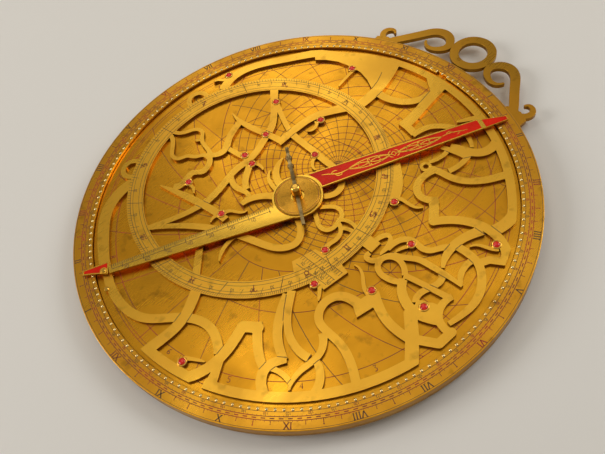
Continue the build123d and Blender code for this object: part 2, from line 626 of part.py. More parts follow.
# Alidade: a straight bar with pointed ends, a round hub and two pairs of hinge lugs
lug_gap = knuckle_length / 2 + end_clearance
with BuildPart() as alidade:
    with BuildSketch(Plane.XY.offset(alidade_z)):
        with BuildLine():
            Polyline(
                (alidade_half_length, 0),
                (alidade_half_length - alidade_point, alidade_width / 2),
                (-alidade_half_length + alidade_point, alidade_width / 2),
                (-alidade_half_length, 0),
                (-alidade_half_length + alidade_point, -alidade_width / 2),
                (alidade_half_length - alidade_point, -alidade_width / 2),
                close=True,
            )
        make_face()
        Circle(alidade_hub_r)
    extrude(amount=alidade_thick)
    for side in (-1, 1):
        with BuildSketch(Plane.XZ):
            with Locations((side * vane_axis_x, hinge_z)):
                Circle(knuckle_r)
            with Locations((side * vane_axis_x, hinge_z)):
                Rectangle(2 * knuckle_r, alidade_z - hinge_z, align=(Align.CENTER, Align.MIN))
        extrude(amount=lug_gap + lug_length, both=True)
        with BuildSketch(Plane.XZ):
            with Locations((side * vane_axis_x, alidade_z)):
                Rectangle(3 * knuckle_r, 2 * alidade_z, align=(Align.CENTER, Align.MAX))
        extrude(amount=lug_gap, both=True, mode=Mode.SUBTRACT)
        with BuildSketch(Plane.XZ):
            with Locations((side * vane_axis_x, hinge_z)):
                Circle(hinge_pin_r)
        extrude(amount=lug_gap + lug_length, both=True, mode=Mode.SUBTRACT)
    with BuildSketch(Plane.XY.offset(alidade_z)):
        Circle(pin_hole_r)
    extrude(amount=alidade_thick, mode=Mode.SUBTRACT)
finish(alidade.part, "alidade")

# Sighting vanes, folded flat towards the hub, and their hinge pins
for side, name in ((-1, "left"), (1, "right")):
    with BuildPart() as vane:
        with BuildSketch(Plane.XY.offset(hinge_z - vane_thick / 2)):
            with Locations((side * (vane_axis_x - (vane_height - vane_width / 2) / 2), 0)):
                Rectangle(vane_height - vane_width / 2, 2 * lug_gap - 2 * end_clearance)
            with Locations((side * (vane_axis_x - (vane_height + vane_neck) / 2), 0)):
                Rectangle(vane_height - vane_neck, vane_width)
            with Locations((side * (vane_axis_x - 0.75 * vane_height), 0)):
                Circle(sight_hole_r, mode=Mode.SUBTRACT)
            with Locations((side * (vane_axis_x - 0.45 * vane_height), 0)):
                Circle(pinhole_r, mode=Mode.SUBTRACT)
        extrude(amount=vane_thick)
        fillet(vane.edges().filter_by(Axis.Z).group_by(Axis.X)[0 if side > 0 else -1], vane_width / 3)
        with BuildSketch(Plane.XZ):
            with Locations((side * vane_axis_x, hinge_z)):
                Circle(knuckle_r)
        extrude(amount=knuckle_length / 2, both=True)
        with BuildSketch(Plane.XZ):
            with Locations((side * vane_axis_x, hinge_z)):
                Circle(hinge_pin_r + running_clearance)
        extrude(amount=knuckle_length, both=True, mode=Mode.SUBTRACT)
    finish(vane.part, "vane_" + name)
    with BuildPart() as hinge_pin:
        with BuildSketch(Plane.XZ):
            with Locations((side * vane_axis_x, hinge_z)):
                Circle(hinge_pin_r)
        extrude(amount=lug_gap + lug_length, both=True)
    finish(hinge_pin.part, "vane_pin_" + name)
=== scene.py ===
import math

import bmesh
import bpy
import numpy as np
from mathutils import Euler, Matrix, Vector


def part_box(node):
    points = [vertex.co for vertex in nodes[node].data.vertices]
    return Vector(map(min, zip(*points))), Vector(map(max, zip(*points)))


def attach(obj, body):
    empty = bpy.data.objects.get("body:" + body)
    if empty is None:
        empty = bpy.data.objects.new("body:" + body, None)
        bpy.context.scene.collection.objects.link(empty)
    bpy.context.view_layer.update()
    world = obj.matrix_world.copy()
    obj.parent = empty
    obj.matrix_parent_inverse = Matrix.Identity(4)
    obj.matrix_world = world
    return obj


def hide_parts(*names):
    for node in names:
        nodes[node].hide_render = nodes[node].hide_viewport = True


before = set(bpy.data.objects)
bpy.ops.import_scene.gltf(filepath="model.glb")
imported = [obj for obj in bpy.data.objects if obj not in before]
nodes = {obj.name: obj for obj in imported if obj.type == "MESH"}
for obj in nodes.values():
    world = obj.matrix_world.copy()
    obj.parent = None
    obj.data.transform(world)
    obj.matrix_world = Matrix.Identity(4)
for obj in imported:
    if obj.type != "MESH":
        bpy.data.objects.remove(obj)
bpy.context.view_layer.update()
print("stage: frame loaded")

# Everything is worked out in millimetres and made metres when a piece is finished
mm = 0.001


def topOf(node):
    return round(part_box(node)[1][2] / mm, 3)


def undersideOf(node):
    return round(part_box(node)[0][2] / mm, 3)


limbTop = topOf("mater_limb")
reteTop = topOf("rete")
tympanTop = topOf("tympan_3")
backFace = undersideOf("mater_back")
armTop = topOf("rule")
enamelTop = topOf("enamel_arm")
capSeat = undersideOf("hub_cap")


# Materials
def newMaterial(name):
    material = bpy.data.materials.new(name)
    material.use_nodes = True
    tree = material.node_tree
    coordinates = tree.nodes.new("ShaderNodeTexCoord").outputs["Object"]
    return material, tree, tree.nodes["Principled BSDF"], coordinates


def link(tree, source, target):
    tree.links.new(source, target)


def addNoise(tree, coordinates, scale, detail, stretch=(1, 1, 1), turn=0.0, distortion=0.0):
    mapping = tree.nodes.new("ShaderNodeMapping")
    mapping.inputs["Scale"].default_value = stretch
    mapping.inputs["Rotation"].default_value = (0, 0, math.radians(turn))
    link(tree, coordinates, mapping.inputs["Vector"])
    noise = tree.nodes.new("ShaderNodeTexNoise")
    noise.inputs["Scale"].default_value = scale
    noise.inputs["Detail"].default_value = detail
    noise.inputs["Distortion"].default_value = distortion
    link(tree, mapping.outputs["Vector"], noise.inputs["Vector"])
    return noise.outputs["Fac"]


def addRange(tree, value, low, high, toLow, toHigh):
    node = tree.nodes.new("ShaderNodeMapRange")
    node.inputs["From Min"].default_value = low
    node.inputs["From Max"].default_value = high
    node.inputs["To Min"].default_value = toLow
    node.inputs["To Max"].default_value = toHigh
    link(tree, value, node.inputs["Value"])
    return node.outputs["Result"]


# A colour that goes from the first to the second as the factor goes from 0 to 1
def addMix(tree, factor, first, second):
    node = tree.nodes.new("ShaderNodeMix")
    node.data_type = "RGBA"
    link(tree, factor, node.inputs[0])
    for value, socket in ((first, node.inputs[6]), (second, node.inputs[7])):
        if isinstance(value, tuple):
            socket.default_value = value
        else:
            link(tree, value, socket)
    return node.outputs[2]


def addMath(tree, operation, first, second=None):
    node = tree.nodes.new("ShaderNodeMath")
    node.operation = operation
    link(tree, first, node.inputs[0])
    if second:
        link(tree, second, node.inputs[1])
    return node.outputs[0]


def addBump(tree, height, strength, distance, normal=None):
    node = tree.nodes.new("ShaderNodeBump")
    node.inputs["Strength"].default_value = strength
    node.inputs["Distance"].default_value = distance
    link(tree, height, node.inputs["Height"])
    if normal:
        link(tree, normal, node.inputs["Normal"])
    return node.outputs["Normal"]


# The share of painted shade in the colour: none on flat faces, and the full amount on upright sides
def addSides(tree, amount):
    facing = tree.nodes.new("ShaderNodeSeparateXYZ")
    link(tree, tree.nodes.new("ShaderNodeNewGeometry").outputs["Normal"], facing.inputs[0])
    return addRange(tree, addMath(tree, "ABSOLUTE", facing.outputs["Z"]), 0.15, 0.6, amount, 0.0)


# Brass: clouded tarnish, small stains, fine scratches that cross, a hammered unevenness, and painted shade on
# its upright sides
brassLook = {
    "colour": (0.88, 0.45, 0.04, 1), "tarnishColour": (0.58, 0.26, 0.02, 1),
    # the side colour and the side share give painted shade on upright sides
    "stainColour": (0.30, 0.13, 0.015, 1), "paintedSideShadeColour": (0.18, 0.085, 0.014, 1),
    "tarnish": 0.6, "stain": 0.5, "side": 0.55,
    "cloudScale": 22, "stainScale": 120, "grainScale": 2600, "crossScale": 3400, "waveScale": 60,
    "grainTurn": 30, "crossTurn": 22, "grainStretch": (1, 0.05, 1), "crossStretch": (0.04, 1, 1),
    "roughLow": 0.24, "roughHigh": 0.40, "grainSmoother": -0.03, "grainRougher": 0.04,
    "wave": 0.10, "waveHeight": 0.0016, "scratch": 0.12, "scratchHeight": 0.00001, "crossShare": 0.7,
}


def brassMaterial(name, changes):
    look = {**brassLook, **changes}
    material, tree, shader, coordinates = newMaterial(name)
    clouds = addNoise(tree, coordinates, look["cloudScale"], 4, distortion=0.6)
    stains = addNoise(tree, coordinates, look["stainScale"], 6)
    turn = look["grainTurn"]
    grain = addNoise(tree, coordinates, look["grainScale"], 3, look["grainStretch"], turn)
    cross = addNoise(tree, coordinates, look["crossScale"], 2, look["crossStretch"], turn + look["crossTurn"])
    cloudy = addRange(tree, clouds, 0.38, 0.66, 0.0, look["tarnish"])
    spotted = addRange(tree, stains, 0.60, 0.72, 0.0, look["stain"])
    colour = addMix(tree, cloudy, look["colour"], look["tarnishColour"])
    colour = addMix(tree, spotted, colour, look["stainColour"])
    # painted shade: the upright sides are darkened towards a dark brown
    colour = addMix(tree, addSides(tree, look["side"]), colour, look["paintedSideShadeColour"])
    link(tree, colour, shader.inputs["Base Color"])
    shader.inputs["Metallic"].default_value = 1.0
    rough = addRange(tree, clouds, 0.3, 0.7, look["roughLow"], look["roughHigh"])
    roughGrain = addRange(tree, grain, 0.3, 0.7, look["grainSmoother"], look["grainRougher"])
    link(tree, addMath(tree, "ADD", rough, roughGrain), shader.inputs["Roughness"])
    waves = addNoise(tree, coordinates, look["waveScale"], 2)
    normal = addBump(tree, waves, look["wave"], look["waveHeight"])
    normal = addBump(tree, grain, look["scratch"], look["scratchHeight"], normal)
    normal = addBump(tree, cross, look["scratch"] * look["crossShare"], look["scratchHeight"], normal)
    link(tree, normal, shader.inputs["Normal"])
    return material


# Turned brass: fine rings round the axis as well as the general wear
def turnedMaterial(name, changes):
    material = brassMaterial(name, changes)
    tree = material.node_tree
    normalInput = tree.nodes["Principled BSDF"].inputs["Normal"]
    rings = tree.nodes.new("ShaderNodeTexWave")
    rings.wave_type = "RINGS"
    rings.rings_direction = "Z"
    rings.inputs["Scale"].default_value = changes["ringScale"]
    rings.inputs["Distortion"].default_value = 0.4
    rings.inputs["Detail"].default_value = 2
    link(tree, tree.nodes.new("ShaderNodeTexCoord").outputs["Object"], rings.inputs["Vector"])
    before = normalInput.links[0].from_socket
    ringed = addBump(tree, rings.outputs["Fac"], changes["ringDepth"], changes["ringHeight"], before)
    link(tree, ringed, normalInput)
    return material


reteBrass = brassMaterial("reteBrass", {
    "colour": (0.97, 0.54, 0.055, 1), "tarnishColour": (0.78, 0.39, 0.04, 1),
    # stronger painted shade on the straps' upright sides
    "side": 0.85, "tarnish": 0.5, "stain": 0.35,
})
ruleBrass = brassMaterial("ruleBrass", {
    "colour": (1.0, 0.61, 0.075, 1), "tarnishColour": (0.78, 0.41, 0.04, 1),
    "side": 0.4, "tarnish": 0.3, "stain": 0.15, "roughLow": 0.20, "roughHigh": 0.32, "grainTurn": -65,
})
limbBrass = brassMaterial("limbBrass", {"colour": (0.84, 0.42, 0.035, 1), "grainTurn": 70, "side": 0.4})
tympanBrass = brassMaterial("tympanBrass", {
    "colour": (0.86, 0.41, 0.025, 1), "tarnishColour": (0.54, 0.24, 0.012, 1), "scratch": 0.05,
    "roughLow": 0.20, "roughHigh": 0.36, "waveScale": 26, "wave": 0.22,
})
plateBrass = brassMaterial("plateBrass", {
    "colour": (0.78, 0.43, 0.07, 1), "tarnish": 0.8, "roughLow": 0.30, "roughHigh": 0.48,
})
throneBrass = brassMaterial("throneBrass", {"colour": (0.60, 0.31, 0.03, 1), "grainTurn": 10})
# Wedge: brass made dark all over, painted shade of its thick end
shadedWedgeBrass = brassMaterial("shadedWedgeBrass", {
    "colour": (0.46, 0.33, 0.14, 1), "tarnishColour": (0.16, 0.11, 0.05, 1), "tarnish": 0.8,
    "cloudScale": 160, "roughLow": 0.26, "roughHigh": 0.42,
})
pinBrass = brassMaterial("pinBrass", {
    "colour": (0.92, 0.56, 0.10, 1), "tarnish": 0.3, "side": 0.3, "roughLow": 0.16, "roughHigh": 0.28,
})
# Beads: a brass much paler than the limb's, a painted highlight
beadHighlightBrass = brassMaterial("beadHighlightBrass", {
    "colour": (0.98, 0.78, 0.36, 1), "tarnish": 0.2, "roughLow": 0.12, "roughHigh": 0.20,
})
capBrass = turnedMaterial("capBrass", {
    "colour": (0.60, 0.31, 0.035, 1), "tarnish": 0.3, "roughLow": 0.18, "roughHigh": 0.28,
    "ringScale": 420, "ringDepth": 0.5, "ringHeight": 0.00008,
})


# Filling of the engraved lines: red wax that is darker where it has worn
def fillingMaterial(name, bright, worn, patchScale):
    material, tree, shader, coordinates = newMaterial(name)
    patches = addNoise(tree, coordinates, patchScale, 3)
    fine = addNoise(tree, coordinates, 700, 2)
    colour = addMix(tree, addRange(tree, patches, 0.42, 0.58, 0.0, 1.0), bright, worn)
    link(tree, colour, shader.inputs["Base Color"])
    link(tree, addRange(tree, fine, 0.3, 0.7, 0.45, 0.65), shader.inputs["Roughness"])
    link(tree, addBump(tree, fine, 0.4, 0.0001), shader.inputs["Normal"])
    return material


redFilling = fillingMaterial("redFilling", (0.42, 0.035, 0.012, 1), (0.20, 0.035, 0.012, 1), 45)
mixedFilling = fillingMaterial("mixedFilling", (0.38, 0.040, 0.012, 1), (0.10, 0.040, 0.014, 1), 18)
darkFilling = fillingMaterial("darkFilling", (0.13, 0.055, 0.018, 1), (0.06, 0.030, 0.012, 1), 60)

# Red enamel: slightly uneven colour, pits and a thin glassy coat
enamelLook = {
    "colour": (0.78, 0.020, 0.003, 1), "deepColour": (0.58, 0.013, 0.002, 1),
    "pitColour": (0.14, 0.010, 0.006, 1), "cloudScale": 70, "pitScale": 1100,
    "roughLow": 0.22, "roughHigh": 0.36, "specular": 0.15, "coat": 0.06, "coatRough": 0.10,
}


def enamelMaterial(name, look):
    material, tree, shader, coordinates = newMaterial(name)
    clouds = addNoise(tree, coordinates, look["cloudScale"], 4)
    pits = addNoise(tree, coordinates, look["pitScale"], 3)
    colour = addMix(tree, addRange(tree, clouds, 0.35, 0.65, 0.0, 1.0), look["colour"], look["deepColour"])
    colour = addMix(tree, addRange(tree, pits, 0.66, 0.74, 0.0, 0.6), colour, look["pitColour"])
    link(tree, colour, shader.inputs["Base Color"])
    rough = addRange(tree, pits, 0.3, 0.7, look["roughLow"], look["roughHigh"])
    link(tree, rough, shader.inputs["Roughness"])
    shader.inputs["Specular IOR Level"].default_value = look["specular"]
    shader.inputs["Coat Weight"].default_value = look["coat"]
    shader.inputs["Coat Roughness"].default_value = look["coatRough"]
    normal = addBump(tree, clouds, 0.15, 0.0006)
    link(tree, addBump(tree, pits, 0.2, 0.00008, normal), shader.inputs["Normal"])
    return material


redEnamel = enamelMaterial("redEnamel", enamelLook)

# Red stone: deep and glossy, with small flaws
stoneLook = {
    "colour": (0.85, 0.012, 0.003, 1), "deepColour": (0.55, 0.006, 0.002, 1), "flawScale": 900,
    "roughLow": 0.04, "roughHigh": 0.10, "bend": 1.6, "coat": 0.2, "coatRough": 0.03,
}


def stoneMaterial(name, look):
    material, tree, shader, coordinates = newMaterial(name)
    flaws = addNoise(tree, coordinates, look["flawScale"], 5, distortion=1.5)
    colour = addMix(tree, addRange(tree, flaws, 0.35, 0.7, 0.0, 1.0), look["colour"], look["deepColour"])
    link(tree, colour, shader.inputs["Base Color"])
    rough = addRange(tree, flaws, 0.3, 0.7, look["roughLow"], look["roughHigh"])
    link(tree, rough, shader.inputs["Roughness"])
    shader.inputs["IOR"].default_value = look["bend"]
    shader.inputs["Coat Weight"].default_value = look["coat"]
    shader.inputs["Coat Roughness"].default_value = look["coatRough"]
    return material


redStone = stoneMaterial("redStone", stoneLook)
print("stage: materials")


# Meshes
def finishPiece(name, mesh, material, body, smooth=None, replaced=()):
    work = bmesh.new()
    work.from_mesh(mesh)
    bmesh.ops.recalc_face_normals(work, faces=work.faces)
    work.to_mesh(mesh)
    work.free()
    mesh.materials.clear()
    mesh.materials.append(material)
    if smooth is None:
        mesh.shade_flat()
    else:
        mesh.shade_smooth()
        mesh.set_sharp_from_angle(angle=math.radians(smooth))
    piece = bpy.data.objects.new(name, mesh)
    bpy.context.scene.collection.objects.link(piece)
    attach(piece, body)
    if replaced:
        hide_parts(*replaced)
    return piece


# Faces between neighbours on a grid: point (row, column) has the number row * columns + column
def gridFaces(rows, columns, closedRows=False):
    row = np.arange(rows if closedRows else rows - 1)[:, None] * columns
    column = np.arange(columns)[None, :]
    nextRow = (row + columns) % (rows * columns)
    nextColumn = (column + 1) % columns
    corners = [row + column, nextRow + column, nextRow + nextColumn, row + nextColumn]
    return np.stack(corners, axis=-1).reshape(-1, 4)


# Small closed shapes between two heights, gathered into one piece
class Bundle:
    def __init__(self, low=0.0, high=0.0):
        self.low = low
        self.high = high
        self.verts = []
        self.faces = []
        self.count = 0

    def add(self, verts, *faceSets):
        for faces in faceSets:
            self.faces += (np.asarray(faces) + self.count).tolist()
        self.verts.append(verts.reshape(-1, 3))
        self.count += len(self.verts[-1])

    # A band along a line in plan: at each point, half the width goes out to both sides, square to the
    # line from the point before to the point after, and the section is a rectangle from low to high
    def band(self, points, width, closed=False, heights=None):
        points = np.asarray(points, float)
        count = len(points)
        if closed:
            ahead = np.roll(points, -1, axis=0) - np.roll(points, 1, axis=0)
        else:
            ahead = np.gradient(points, axis=0)
        ahead /= np.maximum(np.linalg.norm(ahead, axis=1, keepdims=True), 1e-9)
        halfWidth = np.broadcast_to(np.asarray(width, float), (count,))[:, None] / 2
        side = np.stack([-ahead[:, 1], ahead[:, 0]], axis=1) * halfWidth
        low, high = heights if heights else (self.low, self.high)
        verts = np.zeros((count, 4, 3))
        verts[:, [0, 3], :2] = (points + side)[:, None]
        verts[:, [1, 2], :2] = (points - side)[:, None]
        verts[:, :2, 2] = np.reshape(low, (-1, 1))
        verts[:, 2:, 2] = np.reshape(high, (-1, 1))
        section = np.arange(4)[None, :]
        ends = [] if closed else [section, section + 4 * (count - 1)]
        self.add(verts, gridFaces(count, 4, closed), *ends)

    # A dot: the point (x + radius cos t, y + radius sin t) goes round in even steps, from low to high
    def dot(self, place, radius, sides):
        turn = np.arange(sides) * 2 * math.pi / sides
        outline = np.stack([place[0] + radius * np.cos(turn), place[1] + radius * np.sin(turn)], axis=1)
        verts = np.zeros((2, sides, 3))
        verts[:, :, :2] = outline
        verts[0, :, 2] = self.low
        verts[1, :, 2] = self.high
        self.add(verts, gridFaces(2, sides), [np.arange(sides)], [np.arange(sides) + sides])

    # A dome: rings of radius cos a at height sin a, for a from 0 to a right angle, where its tip is
    def dome(self, place, base, radius, height, sides, rings):
        rise = np.linspace(0, math.pi / 2, rings, endpoint=False)[:, None]
        turn = np.linspace(0, 2 * math.pi, sides, endpoint=False)
        shell = np.zeros((rings, sides, 3))
        shell[:, :, 0] = place[0] + radius * np.cos(rise) * np.cos(turn)
        shell[:, :, 1] = place[1] + radius * np.cos(rise) * np.sin(turn)
        shell[:, :, 2] = base + height * np.sin(rise)
        tip = (place[0], place[1], base + height)
        top = (rings - 1) * sides + np.arange(sides)
        fan = np.stack([top, np.roll(top, -1), np.full(sides, rings * sides)], axis=1)
        self.add(np.vstack([shell.reshape(-1, 3), tip]), gridFaces(rings, sides), [np.arange(sides)], fan)

    # A turned ring: a closed profile of (radius, height over its seat) goes round its centre
    def turned(self, profile, seat, centre=(0, 0), sides=96):
        radius, height = np.array(profile, float).T[:, :, None]
        turn = np.linspace(0, 2 * math.pi, sides, endpoint=False)
        verts = np.zeros((len(profile), sides, 3))
        verts[:, :, 0] = centre[0] + radius * np.cos(turn)
        verts[:, :, 1] = centre[1] + radius * np.sin(turn)
        verts[:, :, 2] = seat + height
        self.add(verts, gridFaces(len(profile), sides, closedRows=True))

    def mirror(self):
        self.verts = [verts * (-1, 1, 1) for verts in self.verts]

    def piece(self, name, material, body, slotName, smooth=None, replaced=()):
        mesh = bpy.data.meshes.new(name)
        mesh.from_pydata((np.concatenate(self.verts) * mm).tolist(), [], self.faces)
        return finishPiece(name, mesh, material, body, smooth, replaced)


# An engraved line is a shallow filling that starts under the face and ends just over it
lineUnder = 0.04
lineOver = 0.02


def engraving(face):
    return Bundle(face - lineUnder, face + lineOver)


# Plan points at a radius and clockwise angles from the throne
def clock(radius, angle, centre=(0, 0)):
    turn = np.radians(angle)
    return np.stack([centre[0] + radius * np.sin(turn), centre[1] + radius * np.cos(turn)], axis=-1)


def arcPoints(radius, first, last, step, centre=(0, 0)):
    count = max(3, int(abs(last - first) / step) + 1)
    return clock(radius, np.linspace(first, last, count), centre)


def ringLine(bundle, radius, width, centre=(0, 0), step=1.5):
    bundle.band(arcPoints(radius, 0, 360 - step, step, centre), width, closed=True)


def tickLines(bundle, angles, inner, outer, width):
    for angle in angles:
        bundle.band(clock(np.array([inner, outer]), np.array([angle, angle])), width)


# The points of a line in the runs of three or more that are kept
def keptRuns(points, keep):
    cuts = np.flatnonzero(np.diff(keep.astype(int))) + 1
    runs = [run for run in np.split(np.arange(len(points)), cuts) if keep[run[0]] and len(run) > 2]
    return [points[run] for run in runs]


# Letters and figures, drawn in strokes inside a box one unit high
romanStrokes = {
    "I": [[(0, 0), (0, 1)], [(-0.16, 0), (0.16, 0)], [(-0.16, 1), (0.16, 1)]],
    "V": [[(-0.36, 1), (0, 0)], [(0, 0), (0.36, 1)], [(-0.5, 1), (-0.22, 1)], [(0.22, 1), (0.5, 1)]],
    "X": [[(-0.36, 1), (0.36, 0)], [(-0.36, 0), (0.36, 1)], [(-0.5, 1), (-0.2, 1)], [(0.2, 1), (0.5, 1)],
          [(-0.5, 0), (-0.2, 0)], [(0.2, 0), (0.5, 0)]],
}
romanAdvance = {"I": 0.46, "V": 0.92, "X": 0.92}
figureStrokes = {
    "0": [(0, 0.1), (0.1, 0), (0.4, 0), (0.5, 0.1), (0.5, 0.9), (0.4, 1), (0.1, 1), (0, 0.9), (0, 0.1)],
    "1": [(0.1, 0.8), (0.3, 1), (0.3, 0)],
    "2": [(0, 0.8), (0.1, 1), (0.4, 1), (0.5, 0.8), (0.5, 0.6), (0, 0), (0.5, 0)],
    "3": [(0, 1), (0.5, 1), (0.22, 0.6), (0.5, 0.4), (0.5, 0.15), (0.35, 0), (0.05, 0)],
    "4": [(0.4, 0), (0.4, 1), (0, 0.3), (0.55, 0.3)],
    "5": [(0.5, 1), (0.05, 1), (0.05, 0.58), (0.38, 0.58), (0.5, 0.4), (0.5, 0.15), (0.35, 0), (0, 0)],
    "6": [(0.45, 1), (0.15, 0.8), (0, 0.4), (0.05, 0.1), (0.2, 0), (0.4, 0.05), (0.5, 0.3), (0.35, 0.5),
          (0.03, 0.4)],
    "7": [(0, 1), (0.5, 1), (0.15, 0)],
    "8": [(0.25, 0.55), (0.45, 0.75), (0.4, 1), (0.1, 1), (0.05, 0.75), (0.25, 0.55), (0.5, 0.3), (0.4, 0),
          (0.1, 0), (0, 0.3), (0.25, 0.55)],
    "9": [(0.05, 0), (0.35, 0.2), (0.5, 0.6), (0.45, 0.9), (0.3, 1), (0.1, 0.95), (0, 0.7), (0.15, 0.5),
          (0.47, 0.6)],
}
figureAdvance = 0.75
figureGap = 0.25
hourNames = ["XII", "I", "II", "III", "IIII", "V", "VI", "VII", "VIII", "IX", "X", "XI"]


# Points that are made larger, turned by an angle and moved to their place
def placed(points, place, turn, size):
    points = np.asarray(points, float) * size
    across = np.array([math.cos(turn), math.sin(turn)])
    upward = np.array([-math.sin(turn), math.cos(turn)])
    return np.asarray(place) + points[:, :1] * across + points[:, 1:] * upward


# An hour name, centred on its place; upright strokes are thick and the serifs half as thick
def writeRoman(bundle, word, place, turn, size, width):
    start = -sum(romanAdvance[letter] for letter in word) / 2
    for letter in word:
        middle = start + romanAdvance[letter] / 2
        for stroke in romanStrokes[letter]:
            shifted = np.array(stroke) + (middle, -0.5)
            upright = stroke[0][1] != stroke[-1][1]
            bundle.band(placed(shifted, place, turn, size), width if upright else width / 2)
        start += romanAdvance[letter]


def writeFigures(bundle, word, place, turn, size, width):
    start = -(figureAdvance * len(word) - figureGap) / 2
    for figure in word:
        shifted = np.array(figureStrokes[figure]) + (start, -0.5)
        bundle.band(placed(shifted, place, turn, size), width)
        start += figureAdvance


# A CAD node's shape with its edges rounded so that they catch the light
def roundedNode(node, name, material, body, width, segments=2):
    mesh = nodes[node].data.copy()
    mesh.name = name
    work = bmesh.new()
    work.from_mesh(mesh)
    bmesh.ops.remove_doubles(work, verts=work.verts, dist=1e-6)
    bmesh.ops.dissolve_limit(work, angle_limit=math.radians(1.0), verts=work.verts, edges=work.edges)
    work.normal_update()
    sharpest = math.radians(40)
    sharp = [e for e in work.edges if len(e.link_faces) == 2 and e.calc_face_angle(0) > sharpest]
    bmesh.ops.bevel(work, geom=sharp, offset=width * mm, segments=segments, profile=0.5, affect="EDGES",
                    clamp_overlap=True)
    bmesh.ops.triangulate(work, faces=[f for f in work.faces if len(f.verts) > 4])
    work.to_mesh(mesh)
    work.free()
    piece = finishPiece(name, mesh, material, body, 50, (node,))
    # the large faces stay flat and only the rounded edges bend the light
    weighting = piece.modifiers.new("flatFaces", "WEIGHTED_NORMAL")
    weighting.keep_sharp = True
    weighting.weight = 100
    graph = bpy.context.evaluated_depsgraph_get()
    shaded = bpy.data.meshes.new_from_object(piece.evaluated_get(graph))
    piece.modifiers.clear()
    piece.data = shaded


# Rounded copies of the metal parts
roundedNode("rete", "reteStrapwork", reteBrass, "rete", 0.22)
roundedNode("throne", "throneScrolls", throneBrass, "mater", 0.35)
roundedNode("mater_limb", "limbRing", limbBrass, "mater", 0.3)
roundedNode("mater_back", "backPlate", plateBrass, "mater", 0.3)
roundedNode("rule", "ruleBody", ruleBrass, "rule", 0.12)
roundedNode("alidade", "alidadeBar", throneBrass, "alidade", 0.25)
roundedNode("vane_left", "vaneLeft", throneBrass, "vane_left", 0.15)
roundedNode("vane_right", "vaneRight", throneBrass, "vane_right", 0.15)
roundedNode("wedge", "wedgeBody", shadedWedgeBrass, "wedge", 0.35, segments=3)
print("stage: rounded metal")

# CAD nodes whose shape is kept
keptNodes = {
    "tympan_1": tympanBrass, "tympan_2": tympanBrass, "tympan_3": tympanBrass,
    "centre_pin": pinBrass, "back_washer": pinBrass, "rete_knob": pinBrass, "kite_stud": pinBrass,
    "vane_pin_left": pinBrass, "vane_pin_right": pinBrass,
    "enamel_arm": redEnamel, "enamel_tip": redEnamel, "enamel_kite": redEnamel,
}
for nodeName, material in keptNodes.items():
    nodes[nodeName].data.materials.clear()
    nodes[nodeName].data.materials.append(material)

# Hub cap: a slightly dished disc with an engraved circle, a bevelled edge and a well round the pin
hubCap = {
    "profile": [
        (4.6, 0), (15.2, 0), (15.3, 0.12), (15.3, 0.42), (15.12, 0.68), (14.8, 0.82), (14.4, 0.88),
        (13.95, 0.88), (13.85, 0.78), (13.65, 0.78), (13.55, 0.88), (11, 0.84), (8, 0.82), (6, 0.85),
        (5.2, 0.9), (4.9, 0.88), (4.7, 0.78), (4.6, 0.6),
    ],
    "sides": 144, "circle": 13.75, "circleWidth": 0.22, "circleFloor": 0.76, "circleTop": 0.81,
}
bundle = Bundle()
bundle.turned(hubCap["profile"], capSeat, sides=hubCap["sides"])
bundle.piece("hubCap", capBrass, "rule", "cap_brass", 28, ("hub_cap",))
bundle = Bundle(capSeat + hubCap["circleFloor"], capSeat + hubCap["circleTop"])
ringLine(bundle, hubCap["circle"], hubCap["circleWidth"], step=3)
bundle.piece("hubCircle", redFilling, "rule", "red_enamel")

# Stars of the rete: a collet with a rolled rim and a small skirt, and a domed stone in it
star = {
    "places": [
        (-54, 103.5), (-122.5, 42.5), (-74, 47), (-36.5, 55.3), (-57, 22), (-54.5, 0.5), (-45, -1),
        (-67, -39.5), (-17.5, 31.5), (-29.5, -41), (41, -15.5), (48.5, 37.5), (53, -36), (77, 21.5),
        (114, 53.5), (110, -4.5), (81, -16.5), (32.5, -121.5),
    ],
    "profile": [
        (2.05, 0), (3.1, 0), (3.05, 0.15), (2.9, 0.3), (2.86, 0.42), (2.74, 0.52), (2.5, 0.55),
        (2.28, 0.52), (2.14, 0.42), (2.08, 0.28),
    ],
    "stoneRadius": 2.12, "stoneHeight": 0.98, "stoneLift": 0.02, "colletSides": 28, "stoneSides": 24,
}
collets = Bundle()
stones = Bundle()
for place in star["places"]:
    collets.turned(star["profile"], reteTop, place, star["colletSides"])
    stones.dome(place, reteTop + star["stoneLift"], star["stoneRadius"], star["stoneHeight"],
                star["stoneSides"], 7)
collets.piece("starCollets", pinBrass, "rete", "collet_brass", 50, ("star_collets",))
stones.piece("starStones", redStone, "rete", "red_stone", 60, ("star_jewels",))
print("stage: turned parts")

# Limb: bead row on its inner edge, chequered degree track, ticks, hour numerals and degrees
limb = {
    "beadRing": 138.3, "beadRadius": 1.0, "beadHeight": 0.8, "beadSink": 0.05, "beadStep": 2.0,
    "edgeRings": (139.4, 149.0), "edgeWidth": 0.24, "trackRings": (142.0, 144.2), "trackWidth": 0.42,
    "chequerRing": 143.1, "chequerWidth": 0.6, "tickWidth": 0.2,
    "outerDegree": 144.9, "outerFifth": 145.3, "innerDegree": 141.3, "innerFifth": 140.9,
    "hourRing": 146.9, "hourSize": 3.5, "hourWidth": 0.66,
    "halfTick": 146.8, "halfWidth": 0.42, "halfDot": 147.3, "halfDotRadius": 0.45,
    "quarterTick": 145.9, "quarterWidth": 0.36, "quarterDot": 146.3, "quarterDotRadius": 0.3,
    "degreeRing": 140.4, "degreeSize": 1.3, "degreeWidth": 0.24,
}
bundle = Bundle()
for angle in np.arange(0, 360, limb["beadStep"]):
    place = clock(limb["beadRing"], angle)
    bundle.dome(place, limbTop - limb["beadSink"], limb["beadRadius"], limb["beadHeight"], 8, 3)
bundle.piece("limbBeads", beadHighlightBrass, "mater", "limb_brass", 60)

